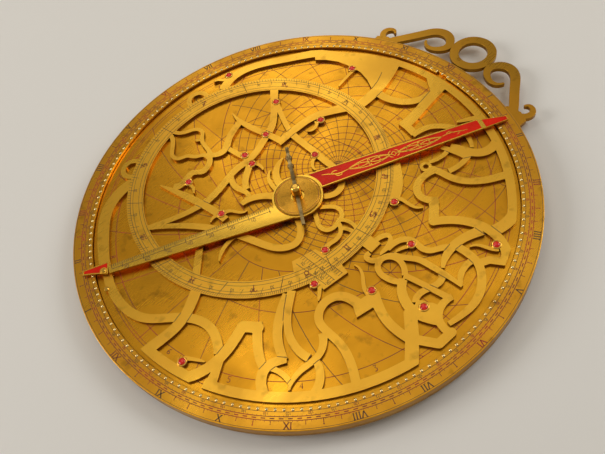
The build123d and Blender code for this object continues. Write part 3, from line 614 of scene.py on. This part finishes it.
red = engraving(limbTop)
dark = engraving(limbTop)
everyFifth = np.arange(0, 360, 5)
otherDegrees = np.setdiff1d(np.arange(360), everyFifth)
trackInner, trackOuter = limb["trackRings"]
for radius in limb["trackRings"]:
    ringLine(red, radius, limb["trackWidth"])
for radius in limb["edgeRings"]:
    ringLine(dark, radius, limb["edgeWidth"])
for degree in range(0, 360, 2):
    red.band(arcPoints(limb["chequerRing"], degree, degree + 1, 0.5), limb["chequerWidth"])
tickLines(red, otherDegrees, trackOuter, limb["outerDegree"], limb["tickWidth"])
tickLines(red, everyFifth, trackOuter, limb["outerFifth"], limb["tickWidth"])
tickLines(dark, otherDegrees, limb["innerDegree"], trackInner, limb["tickWidth"])
tickLines(dark, everyFifth, limb["innerFifth"], trackInner, limb["tickWidth"])
for angle in np.arange(7.5, 360, 15):
    tickLines(red, [angle], trackOuter, limb["halfTick"], limb["halfWidth"])
    red.dot(clock(limb["halfDot"], angle), limb["halfDotRadius"], 8)
for angle in np.arange(3.75, 360, 7.5):
    tickLines(red, [angle], trackOuter, limb["quarterTick"], limb["quarterWidth"])
    red.dot(clock(limb["quarterDot"], angle), limb["quarterDotRadius"], 6)
for hour in range(24):
    angle = hour * 15.0
    writeRoman(dark if hour % 3 else red, hourNames[hour % 12], clock(limb["hourRing"], angle),
               -math.radians(angle), limb["hourSize"], limb["hourWidth"])
for degree in range(5, 361, 5):
    writeFigures(dark if degree % 2 else red, str(degree), clock(limb["degreeRing"], degree),
                 -math.radians(degree), limb["degreeSize"], limb["degreeWidth"])
red.piece("limbRedEngraving", redFilling, "mater", "limb_brass")
dark.piece("limbDarkEngraving", darkFilling, "mater", "limb_brass")
print("stage: limb engraving")

# Tympan: circles of the sky, thrown from its south pole onto the plane of the equator. For an altitude a,
# with s = equator / (sin(latitude) + sin(a)), the centre is s cos(latitude) up and the radius s cos(a)
tympan = {
    "latitude": 42.0, "tilt": 23.44, "equator": 80.0, "edge": 131.5,
    "mainWidth": 0.45, "edgeWidth": 0.4, "innerEdgeGap": 1.8, "innerEdgeWidth": 0.3,
    "altitudeStep": 5, "altitudeWidth": 0.38, "mainAltitudeWidth": 0.46,
    "azimuthStep": 10, "azimuthWidth": 0.36, "meridianWidth": 0.42, "hourWidth": 0.42,
    "hourFigureRing": 124.5, "hourFigureSize": 3.4, "hourFigureWidth": 0.5,
    "altitudeFigureX": 2.6, "altitudeFigureSize": 1.8, "altitudeFigureWidth": 0.32,
}
latitude = math.radians(tympan["latitude"])
tilt = math.radians(tympan["tilt"])
equator = tympan["equator"]
plateEdge = tympan["edge"]
cancer = equator * math.tan(math.pi / 4 - tilt / 2)
capricorn = equator / math.tan(math.pi / 4 - tilt / 2)
zenith = equator * math.cos(latitude) / (1 + math.sin(latitude))
nadir = -equator * math.cos(latitude) / (1 - math.sin(latitude))
horizonY = equator / math.tan(latitude)
horizonRadius = equator / math.sin(latitude)

lines = engraving(tympanTop)
redLines = engraving(tympanTop)
for radius in (cancer, equator, capricorn):
    ringLine(redLines, radius, tympan["mainWidth"], step=2)
ringLine(redLines, plateEdge, tympan["edgeWidth"], step=2)
ringLine(redLines, plateEdge - tympan["innerEdgeGap"], tympan["innerEdgeWidth"], step=2)
for altitude in range(0, 86, tympan["altitudeStep"]):
    scale = equator / (math.sin(latitude) + math.sin(math.radians(altitude)))
    radius = scale * math.cos(math.radians(altitude))
    points = arcPoints(radius, 0, 360, max(1.0, 150 / radius), (0, scale * math.cos(latitude)))
    isMain = altitude % 30 == 0
    for run in keptRuns(points, np.hypot(*points.T) < plateEdge):
        if isMain:
            redLines.band(run, tympan["mainAltitudeWidth"])
        else:
            lines.band(run, tympan["altitudeWidth"])
# circles of azimuth all pass through the zenith and the nadir
halfSpan = (zenith - nadir) / 2
for azimuth in range(10, 180, tympan["azimuthStep"]):
    turn = math.radians(azimuth)
    radius = halfSpan / math.sin(turn)
    centre = (halfSpan / math.tan(turn), (zenith + nadir) / 2)
    points = arcPoints(radius, 0, 360, max(0.4, 120 / radius), centre)
    aboveHorizon = np.hypot(points[:, 0], points[:, 1] - horizonY) < horizonRadius
    for run in keptRuns(points, aboveHorizon & (np.hypot(*points.T) < plateEdge)):
        (lines if azimuth % 30 else redLines).band(run, tympan["azimuthWidth"])
redLines.band([(0, -plateEdge), (0, plateEdge)], tympan["meridianWidth"])
redLines.band([(-plateEdge, 0), (plateEdge, 0)], tympan["azimuthWidth"])

# Unequal hours: the part of each circle that lies under the horizon, shared in twelve
hourRadii = np.linspace(cancer, plateEdge, 14)
cosines = (hourRadii ** 2 + horizonY ** 2 - horizonRadius ** 2) / (-2 * horizonY * hourRadii)
halfArcs = np.degrees(np.arccos(np.clip(cosines, -1, 1)))
for hour in (1, 2, 3, 4, 5, 7, 8, 9, 10, 11):
    angles = 180 + (hour / 6 - 1) * halfArcs
    (lines if hour % 2 else redLines).band(clock(hourRadii, angles), tympan["hourWidth"])
for hour in range(12):
    angle = 180 + ((hour + 0.5) / 6 - 1) * halfArcs[-2]
    writeFigures(redLines, str(hour + 1), clock(tympan["hourFigureRing"], angle), math.radians(180 - angle),
                 tympan["hourFigureSize"], tympan["hourFigureWidth"])
for altitude in range(10, 90, 10):
    scale = equator / (math.sin(latitude) + math.sin(math.radians(altitude)))
    reach = math.cos(math.radians(altitude))
    heights = [scale * (math.cos(latitude) - reach) + 1.4]
    if scale * (math.cos(latitude) + reach) < plateEdge - 4:
        heights.append(scale * (math.cos(latitude) + reach) - 1.6)
    for y in heights:
        writeFigures(redLines, str(altitude), (tympan["altitudeFigureX"], y), 0,
                     tympan["altitudeFigureSize"], tympan["altitudeFigureWidth"])
lines.piece("tympanLines", mixedFilling, "mater", "tympan_brass")
redLines.piece("tympanRedLines", redFilling, "mater", "tympan_brass")
print("stage: tympan engraving")

# Ecliptic ring: the signs are spaced as they are seen from the pole, so their lines point to the axis
ecliptic = {
    "centre": (-33.5, -6.0), "outer": 89.3,
    "rings": ((79.1, 0.28), (81.4, 0.24), (85.5, 0.24), (87.3, 0.3)),
    "signInner": 79.1, "tenInner": 83.6, "fiveInner": 85.3, "degreeInner": 87.3,
    "signWidth": 0.4, "degreeWidth": 0.26,
    "figureRing": 84.3, "figureSize": 1.8, "figureWidth": 0.3,
    "markRing": 83.3, "markSize": 4.6, "markWidth": 0.55,
}
eclipticCentre = np.array(ecliptic["centre"])
winterTurn = math.atan2(eclipticCentre[1], eclipticCentre[0])


# The direction from the axis to a place on the ecliptic, by its longitude
def signDirection(longitude):
    far = math.radians(longitude)
    ascension = math.atan2(math.sin(far) * math.cos(tilt), math.cos(far))
    turn = winterTurn + ascension + math.pi / 2
    return np.array([math.cos(turn), math.sin(turn)])


# Where a line from the axis meets a ring round the ecliptic's centre
def ringCross(direction, radius):
    along = eclipticCentre @ direction
    return direction * (along + math.sqrt(along ** 2 - eclipticCentre @ eclipticCentre + radius ** 2))


# A place on the ring, and the turn that sets a mark upright there
def ringPlace(longitude, radius):
    place = ringCross(signDirection(longitude), radius)
    outward = place - eclipticCentre
    return place, math.atan2(outward[1], outward[0]) - math.pi / 2


def circleStroke(x, y, radius, first=0, last=360):
    turn = np.radians(np.arange(first, last + 1, 30))
    return np.stack([x + radius * np.cos(turn), y + radius * np.sin(turn)], axis=1)


# The twelve traditional marks of the signs, from the ram to the fishes
signStrokes = [
    [[(-0.5, 0.3), (-0.3, 0.5), (-0.1, 0.4), (0, 0), (0, -0.5)],
     [(0, 0), (0.1, 0.4), (0.3, 0.5), (0.5, 0.3)]],
    [circleStroke(0, -0.2, 0.3), circleStroke(0, 0.45, 0.35, 180, 360)],
    [[(-0.2, -0.4), (-0.2, 0.4)], [(0.2, -0.4), (0.2, 0.4)], [(-0.4, 0.5), (0, 0.4), (0.4, 0.5)],
     [(-0.4, -0.5), (0, -0.4), (0.4, -0.5)]],
    [circleStroke(-0.3, 0.15, 0.15), [(-0.45, 0.2), (0, 0.4), (0.5, 0.3)], circleStroke(0.3, -0.15, 0.15),
     [(0.45, -0.2), (0, -0.4), (-0.5, -0.3)]],
    [circleStroke(-0.3, -0.1, 0.15), circleStroke(0, 0.2, 0.3, -30, 210),
     [(0.26, 0.05), (0.15, -0.4), (0.4, -0.45)]],
    [[(-0.5, 0.4), (-0.4, 0.5), (-0.35, -0.4)], [(-0.35, 0.3), (-0.15, 0.5), (-0.1, -0.4)],
     [(-0.1, 0.3), (0.1, 0.5), (0.15, -0.2), (0.45, -0.5)], [(0.15, 0.2), (0.4, 0.2), (0.1, -0.4)]],
    [[(-0.5, -0.4), (0.5, -0.4)],
     [(-0.5, -0.15), (-0.2, -0.15), (-0.3, 0.2), (0, 0.45), (0.3, 0.2), (0.2, -0.15), (0.5, -0.15)]],
    [[(-0.5, 0.4), (-0.4, 0.5), (-0.35, -0.4)], [(-0.35, 0.3), (-0.15, 0.5), (-0.1, -0.4)],
     [(-0.1, 0.3), (0.1, 0.5), (0.15, -0.4), (0.5, -0.3)], [(0.35, -0.1), (0.5, -0.3), (0.35, -0.5)]],
    [[(-0.4, -0.4), (0.4, 0.4)], [(0.05, 0.45), (0.42, 0.42), (0.45, 0.05)], [(-0.3, 0.05), (0.05, -0.3)]],
    [[(-0.5, 0.4), (-0.3, 0.3), (-0.2, -0.3), (0, 0.4), (0.15, 0), (0.1, -0.5)],
     circleStroke(0.3, -0.1, 0.16)],
    [[(-0.5, 0.1), (-0.25, 0.35), (-0.1, 0.1), (0.15, 0.35), (0.3, 0.1), (0.5, 0.35)],
     [(-0.5, -0.3), (-0.25, -0.05), (-0.1, -0.3), (0.15, -0.05), (0.3, -0.3), (0.5, -0.05)]],
    [circleStroke(-0.65, 0, 0.5, -60, 60), circleStroke(0.65, 0, 0.5, 120, 240), [(-0.4, 0), (0.4, 0)]],
]
dark = engraving(reteTop)
red = engraving(reteTop)
for radius, width in ecliptic["rings"]:
    ringLine(dark, radius, width, eclipticCentre, step=2)
for degree in range(360):
    direction = signDirection(degree)
    width = ecliptic["degreeWidth"]
    inner = ecliptic["degreeInner"]
    if degree % 30 == 0:
        width = ecliptic["signWidth"]
        inner = ecliptic["signInner"]
    elif degree % 10 == 0:
        inner = ecliptic["tenInner"]
    elif degree % 5 == 0:
        inner = ecliptic["fiveInner"]
    dark.band([ringCross(direction, inner), ringCross(direction, ecliptic["outer"])], width)
for step in range(36):
    place, turn = ringPlace(step * 10 + 5, ecliptic["figureRing"])
    figures = str(step % 3 * 10 + 10)
    writeFigures(dark, figures, place, turn, ecliptic["figureSize"], ecliptic["figureWidth"])
for number, strokes in enumerate(signStrokes):
    place, turn = ringPlace(number * 30 + 15, ecliptic["markRing"])
    for stroke in strokes:
        red.band(placed(stroke, place, turn, ecliptic["markSize"]), ecliptic["markWidth"])

# Where one strap passes over another, its edges are cut across the lower one
strapCutWidth = 0.42
strapCuts = [
    [(103.5, 61.8), (111.1, 61.4)], [(97.3, 54.6), (104.8, 54.7)], [(99.0, 40.8), (98.6, 35.6)],
    [(94.3, 30.8), (93.7, 36.5)], [(108.2, 35.7), (112.3, 35.1)], [(102.2, 16.8), (107.0, 17.5)],
    [(103.0, 8.3), (107.3, 9.5)], [(101.5, 4.6), (105.9, 5.4)], [(58.6, 90.4), (61.6, 94.8)],
    [(45.5, 88.0), (48.9, 88.3)], [(3.8, 121.5), (5.5, 109.3)], [(89.3, -66.6), (88.9, -70.9)],
    [(83.7, -67.6), (85.0, -72.6)], [(86.0, -85.2), (86.5, -88.6)], [(74.3, -86.2), (73.9, -90.4)],
    [(68.2, -87.9), (68.7, -93.8)], [(70.7, -81.7), (75.3, -78.0)],
    [(45.7, -51.9), (51, -58.6), (56.7, -64.7)], [(12.7, -98.7), (14.7, -104.3)],
    [(7.1, -103), (8.8, -109.6)], [(42.9, -99.1), (43.8, -104.8)], [(-29.2, 98.2), (-31, 106), (-34.5, 114)],
    [(-22.0, 100.8), (-21.4, 94.8)], [(-47.4, 37.3), (-47.4, 33.3)], [(-41.8, 36.4), (-41.8, 31.4)],
    [(-59.7, 24.6), (-54.6, 26.0)], [(-57.4, 19.1), (-53.0, 21.1)], [(-47.3, -42.5), (-42.2, -41.1)],
    [(-48.4, -47.9), (-43.4, -46.8)], [(-68.7, -0.9), (-66.9, -4.8)],
]
for cut in strapCuts:
    dark.band(cut, strapCutWidth)

# Ruled field with figures beside the ring
field = {
    "rules": (
        ((33.6, -21.2), (60.2, -19.6)), ((33.0, -27.0), (60.0, -26.0)), ((34.6, -33.8), (58.6, -31.6)),
    ),
    "ruleWidth": 0.3, "tickWidth": 0.26, "tickStep": 1.8,
    "figureTurn": 0.06, "figureSize": 1.9, "figureWidth": 0.3,
}
for ends in field["rules"]:
    dark.band(ends, field["ruleWidth"])
for step in range(15):
    x = 34.6 + step * field["tickStep"]
    dark.band([(x, -21.0 + step * 0.1), (x - 0.2, -23.6 + step * 0.07)], field["tickWidth"])
    dark.band([(x - 0.6, -27.0 + step * 0.07), (x - 0.7, -29.6 + step * 0.07)], field["tickWidth"])
for step in range(5):
    writeFigures(dark, str(step * 10 + 10), (37.5 + step * 5.2, -31.0 + step * 0.3), field["figureTurn"],
                 field["figureSize"], field["figureWidth"])
dark.piece("eclipticLines", darkFilling, "rete", "rete_brass")
red.piece("eclipticSigns", redFilling, "rete", "rete_brass")
print("stage: rete engraving")

# Rule: points are given across its fiducial line, to the clockwise side, and outward along it
ruleAngle = math.radians(25.0)
ruleAcross = np.array([math.cos(ruleAngle), -math.sin(ruleAngle)])
ruleAlong = np.array([math.sin(ruleAngle), math.cos(ruleAngle)])


def onRule(points):
    points = np.asarray(points, float)
    return points[:, :1] * ruleAcross + points[:, 1:] * ruleAlong


# Gold foliage on the red arm: two interlaced scrolls that part from a knot, with tails and leaves.
# Its points are given across the arm's middle and outward
foliageLook = {
    "under": 0.05, "over": 0.09, "armWidthAtAxis": 14.4, "armTaper": 5.6 / 127.6,
    "scrolls": ((37, 66, 3.1), (70, 101, 2.7)),
    "curls": (
        (1.2, 44.5, 1.0, 200, 1), (1.7, 51.5, 1.2, 200, 1), (1.3, 58.5, 1.1, 20, -1),
        (1.2, 77.5, 1.1, 200, 1), (1.5, 85.5, 1.1, 200, 1), (1.0, 92.5, 0.9, 20, -1),
    ),
    "leaves": (
        ([(-2.4, 19.5), (-1.7, 22.5), (-0.4, 26), (0.7, 29), (0.9, 32), (0.4, 35), (0, 37.4)], 0.8, 0.3),
        ([(0.3, 27.6), (1.8, 28.4), (2.5, 30), (2.2, 31.8), (1.3, 32)], 0.7, 0.25),
        ([(-0.7, 25.2), (-2.0, 26.8), (-2.3, 28.8), (-1.7, 30)], 0.6, 0.25),
        ([(0, 100.6), (-0.8, 104), (-0.9, 108), (0, 112), (0.6, 115), (0.9, 118.5)], 0.7, 0.25),
        ([(-0.8, 104), (-2.0, 105.6), (-2.2, 107.6), (-1.6, 108.6)], 0.5, 0.2),
        ([(0.1, 112.4), (1.5, 112.2), (2.0, 110.6)], 0.5, 0.2),
    ),
    "knot": [(0, 66), (0.9, 67.2), (2.0, 68), (0.9, 68.8), (0, 70)], "knotWidth": 0.5,
    "knotLeaves": ([(0.6, 64.4), (2.0, 65.2), (2.8, 66.8)], [(0.6, 71.6), (2.0, 70.8), (2.8, 69.2)]),
    "knotLeafThick": 0.6,
}
foliage = Bundle(enamelTop - foliageLook["under"], enamelTop + foliageLook["over"])


# A stem whose width swells from thin at its ends to thick at its middle, as half a sine wave
def stem(points, thick, thin=0.25):
    points = np.array(points, float)
    middle = -(foliageLook["armWidthAtAxis"] - foliageLook["armTaper"] * points[:, 1]) / 2
    points[:, 0] += middle
    swell = np.sin(np.linspace(0, math.pi, len(points)))
    foliage.band(onRule(points), thin + (thick - thin) * swell)


# A curl: its radius shrinks evenly to a fifth while it makes nine tenths of a turn
def curl(x, y, radius, first, hand, steps=26):
    part = np.linspace(0, 1, steps)
    turn = math.radians(first) + hand * 2 * math.pi * 0.9 * part
    reach = radius * (1 - 0.8 * part)
    return np.stack([x + reach * np.cos(turn), y + reach * np.sin(turn)], axis=1)


for first, last, swing in foliageLook["scrolls"]:
    part = np.linspace(0, 1, 40)
    reach = first + (last - first) * part
    outer = swing * np.sin(math.pi * part) ** 0.8
    inner = swing * 0.55 * np.sin(2 * math.pi * part) * np.sin(math.pi * part) ** 0.4
    for side in (-1, 1):
        stem(np.stack([side * outer, reach], axis=1), 0.62, 0.34)
        stem(np.stack([side * inner, reach], axis=1), 0.6, 0.3)
for side in (-1, 1):
    toSide = np.array([side, 1])
    for settings in foliageLook["curls"]:
        stem(curl(*settings) * toSide, 0.5)
    stem(foliageLook["knot"] * toSide, foliageLook["knotWidth"], foliageLook["knotWidth"])
    for points in foliageLook["knotLeaves"]:
        stem(points * toSide, foliageLook["knotLeafThick"])
for points, thick, thin in foliageLook["leaves"]:
    stem(points, thick, thin)
foliage.piece("armFoliage", ruleBrass, "rule", "rule_brass", 50)

# Graduated bevel and figures of the lower arm
scaleLook = {
    "start": 20, "step": 1.4, "count": 76, "edge": 0.15, "under": 0.05, "over": 0.03,
    "bevelWidth": 4.0, "bevelDrop": 0.9, "border": 4.15, "borderWidth": 0.32,
    "tenReach": 5.6, "tenWidth": 0.42, "fiveReach": 3.4, "fiveWidth": 0.38, "reach": 2.4, "width": 0.34,
    "figureX": 6.0, "figureLift": 2.2, "figureSize": 2.4, "figureWidth": 0.36,
}
grade = Bundle()


# A line that follows the bevel: it drops evenly from the flat to the fiducial edge
def gradeLine(points, width):
    points = np.asarray(points, float)
    onBevel = np.minimum(points[:, 0] / scaleLook["bevelWidth"], 1)
    top = armTop - scaleLook["bevelDrop"] * (1 - onBevel)
    grade.band(onRule(points), width, heights=(top - scaleLook["under"], top + scaleLook["over"]))


for step in range(scaleLook["count"]):
    reach = -(scaleLook["start"] + step * scaleLook["step"])
    if step % 10 == 0:
        across = (scaleLook["edge"], scaleLook["bevelWidth"], scaleLook["tenReach"])
        gradeLine([(x, reach) for x in across], scaleLook["tenWidth"])
    elif step % 5 == 0:
        gradeLine([(scaleLook["edge"], reach), (scaleLook["fiveReach"], reach)], scaleLook["fiveWidth"])
    else:
        gradeLine([(scaleLook["edge"], reach), (scaleLook["reach"], reach)], scaleLook["width"])
gradeLine([(scaleLook["border"], reach) for reach in (-19, -70, -125)], scaleLook["borderWidth"])
grade.piece("ruleGraduation", darkFilling, "rule", "rule_brass")
figures = engraving(armTop)
for step in range(1, 8):
    reach = -(scaleLook["start"] + step * 10 * scaleLook["step"]) + scaleLook["figureLift"]
    place = onRule([(scaleLook["figureX"], reach)])[0]
    writeFigures(figures, str(step * 10), place, math.pi / 2 - ruleAngle, scaleLook["figureSize"],
                 scaleLook["figureWidth"])
figures.piece("ruleFigures", darkFilling, "rule", "rule_brass")

# Ring round the stud on the kite
studRing = {
    "place": (3.0, -130.4), "sides": 28,
    "profile": [(1.5, -0.02), (2.3, -0.02), (2.25, 0.2), (1.9, 0.3), (1.55, 0.22)],
}
bundle = Bundle()
bundle.turned(studRing["profile"], enamelTop, onRule([studRing["place"]])[0], studRing["sides"])
bundle.piece("kiteStudRing", ruleBrass, "rule", "rule_brass", 50)
print("stage: rule")

# Back: rings, degrees and a shadow square, drawn as seen from behind and mirrored onto the underside
back = {
    "rings": (147.5, 143.5, 139.5, 126, 122, 112, 108), "ringWidth": 0.24,
    "fifthReach": 141.5, "tenthReach": 118.0,
    "degreeWidth": 0.14, "innerDegreeWidth": 0.12, "signWidth": 0.26,
    "figureRing": 141.0, "figureSize": 1.6, "figureWidth": 0.24,
    "squares": (58, 54, 46), "squareWidth": 0.24, "squareParts": 12, "squareTickWidth": 0.18,
    "hourSpan": 100, "hourLimit": 104, "largestHour": 160, "hourWidth": 0.2, "crossReach": 107,
}
everyTenth = np.arange(0, 360, 10)
squareOuter, squareMiddle, squareInner = back["squares"]
degreeOuter, degreeInner, signOuter, innerOuter, innerInner, _, signInner = back["rings"]
lines = Bundle(backFace - lineOver, backFace + lineUnder)
for radius in back["rings"]:
    ringLine(lines, radius, back["ringWidth"], step=2)
tickLines(lines, everyFifth, back["fifthReach"], degreeOuter, back["degreeWidth"])
tickLines(lines, otherDegrees, degreeInner, degreeOuter, back["degreeWidth"])
tickLines(lines, everyTenth, back["tenthReach"], innerOuter, back["innerDegreeWidth"])
tickLines(lines, np.setdiff1d(np.arange(360), everyTenth), innerInner, innerOuter, back["innerDegreeWidth"])
tickLines(lines, np.arange(0, 360, 30), signInner, signOuter, back["signWidth"])
for angle in everyTenth:
    writeFigures(lines, str(abs(90 - angle % 180)), clock(back["figureRing"], angle + 5),
                 -math.radians(angle + 5), back["figureSize"], back["figureWidth"])
for size in back["squares"]:
    lines.band([(-size, 0), (-size, -size), (size, -size), (size, 0)], back["squareWidth"])
# every third part of the shadow square is marked inward and the others outward
for part in range(-back["squareParts"], back["squareParts"] + 1):
    across = part * squareMiddle / back["squareParts"]
    reach = squareOuter if part % 3 else squareInner
    lines.band([(across, -squareMiddle), (across, -reach)], back["squareTickWidth"])
for part in range(1, back["squareParts"]):
    down = -part * squareMiddle / back["squareParts"]
    reach = squareOuter if part % 3 else squareInner
    for side in (-1, 1):
        lines.band([(side * squareMiddle, down), (side * reach, down)], back["squareTickWidth"])
# unequal hours: circles through the axis, above the horizon line
for hour in range(1, 7):
    radius = back["hourSpan"] / (2 * math.cos(math.radians(hour * 12)))
    if radius < back["largestHour"]:
        points = arcPoints(radius, 0, 360, 2, (0, radius))
        keep = (np.hypot(*points.T) < back["hourLimit"]) & (points[:, 1] > 0.2)
        for run in keptRuns(points, keep):
            lines.band(run, back["hourWidth"])
lines.band([(0, -back["crossReach"]), (0, back["crossReach"])], back["hourWidth"])
lines.band([(-back["crossReach"], 0), (back["crossReach"], 0)], back["hourWidth"])
lines.mirror()
lines.piece("backEngraving", darkFilling, "mater", "plate_brass")
print("stage: back engraving")

# Studio, in metres: a pale floor and soft lamps that look at the middle of the part
studio = {
    "floorColour": (0.80, 0.79, 0.77, 1), "floorReach": 4,
    "skyColour": (0.30, 0.275, 0.235, 1), "skyStrength": 1.0,
    "warm": (1.0, 0.93, 0.80), "neutral": (1.0, 0.97, 0.93),
}
lamps = [
    {"name": "keyLamp", "place": (-0.84, 0.56, 0.90), "size": 0.62, "power": 1.05, "colour": studio["warm"]},
    {"name": "frontLamp", "place": (-0.36, 0.0, 1.14), "size": 0.36, "power": 0.66, "colour": studio["warm"]},
    {"name": "backLamp", "place": (-0.19, 0.43, 1.04), "size": 0.42, "power": 0.30, "colour": studio["warm"]},
    {"name": "leftLamp", "place": (-1.0, -1.3, 0.95), "size": 1.0, "power": 14, "colour": studio["neutral"]},
    {"name": "rightLamp", "place": (0.5, 1.35, 1.15), "size": 1.0, "power": 9.5, "colour": studio["neutral"]},
]


def floorMaterial(colour):
    material, tree, shader, coordinates = newMaterial("floorMaterial")
    shader.inputs["Base Color"].default_value = colour
    rough = addRange(tree, addNoise(tree, coordinates, 300, 2), 0.3, 0.7, 0.6, 0.7)
    link(tree, rough, shader.inputs["Roughness"])
    return material


floorReach = studio["floorReach"]
floorCorners = [(x * floorReach, y * floorReach, 0) for x, y in ((-1, -1), (1, -1), (1, 1), (-1, 1))]
floorMesh = bpy.data.meshes.new("floor")
floorMesh.from_pydata(floorCorners, [], [(0, 1, 2, 3)])
floorMesh.materials.append(floorMaterial(studio["floorColour"]))
floor = bpy.data.objects.new("floor", floorMesh)
bpy.context.scene.collection.objects.link(floor)

for lamp in lamps:
    light = bpy.data.lights.new(lamp["name"], "AREA")
    light.shape = "DISK"
    light.size = lamp["size"]
    light.energy = lamp["power"]
    light.color = lamp["colour"]
    holder = bpy.data.objects.new(lamp["name"], light)
    holder.location = lamp["place"]
    holder.rotation_euler = (-Vector(lamp["place"])).to_track_quat("-Z", "Y").to_euler()
    bpy.context.scene.collection.objects.link(holder)

world = bpy.data.worlds.new("world")
bpy.context.scene.world = world
world.use_nodes = True
background = world.node_tree.nodes["Background"]
background.inputs["Color"].default_value = studio["skyColour"]
background.inputs["Strength"].default_value = studio["skyStrength"]

# Camera at the photograph's viewing angle
cameraLook = {
    "lens": 42.155, "sensor": 36, "place": (0.23633, -0.13540, 0.37578), "turn": (33.4925, 9.3291, 46.9688),
}
cameraData = bpy.data.cameras.new("camera")
cameraData.lens = cameraLook["lens"]
cameraData.sensor_width = cameraLook["sensor"]
camera = bpy.data.objects.new("camera", cameraData)
camera.location = cameraLook["place"]
camera.rotation_euler = Euler([math.radians(angle) for angle in cameraLook["turn"]], "XYZ")
bpy.context.scene.collection.objects.link(camera)
bpy.context.scene.camera = camera
bpy.context.scene.view_settings.view_transform = "Standard"
print("stage: studio")
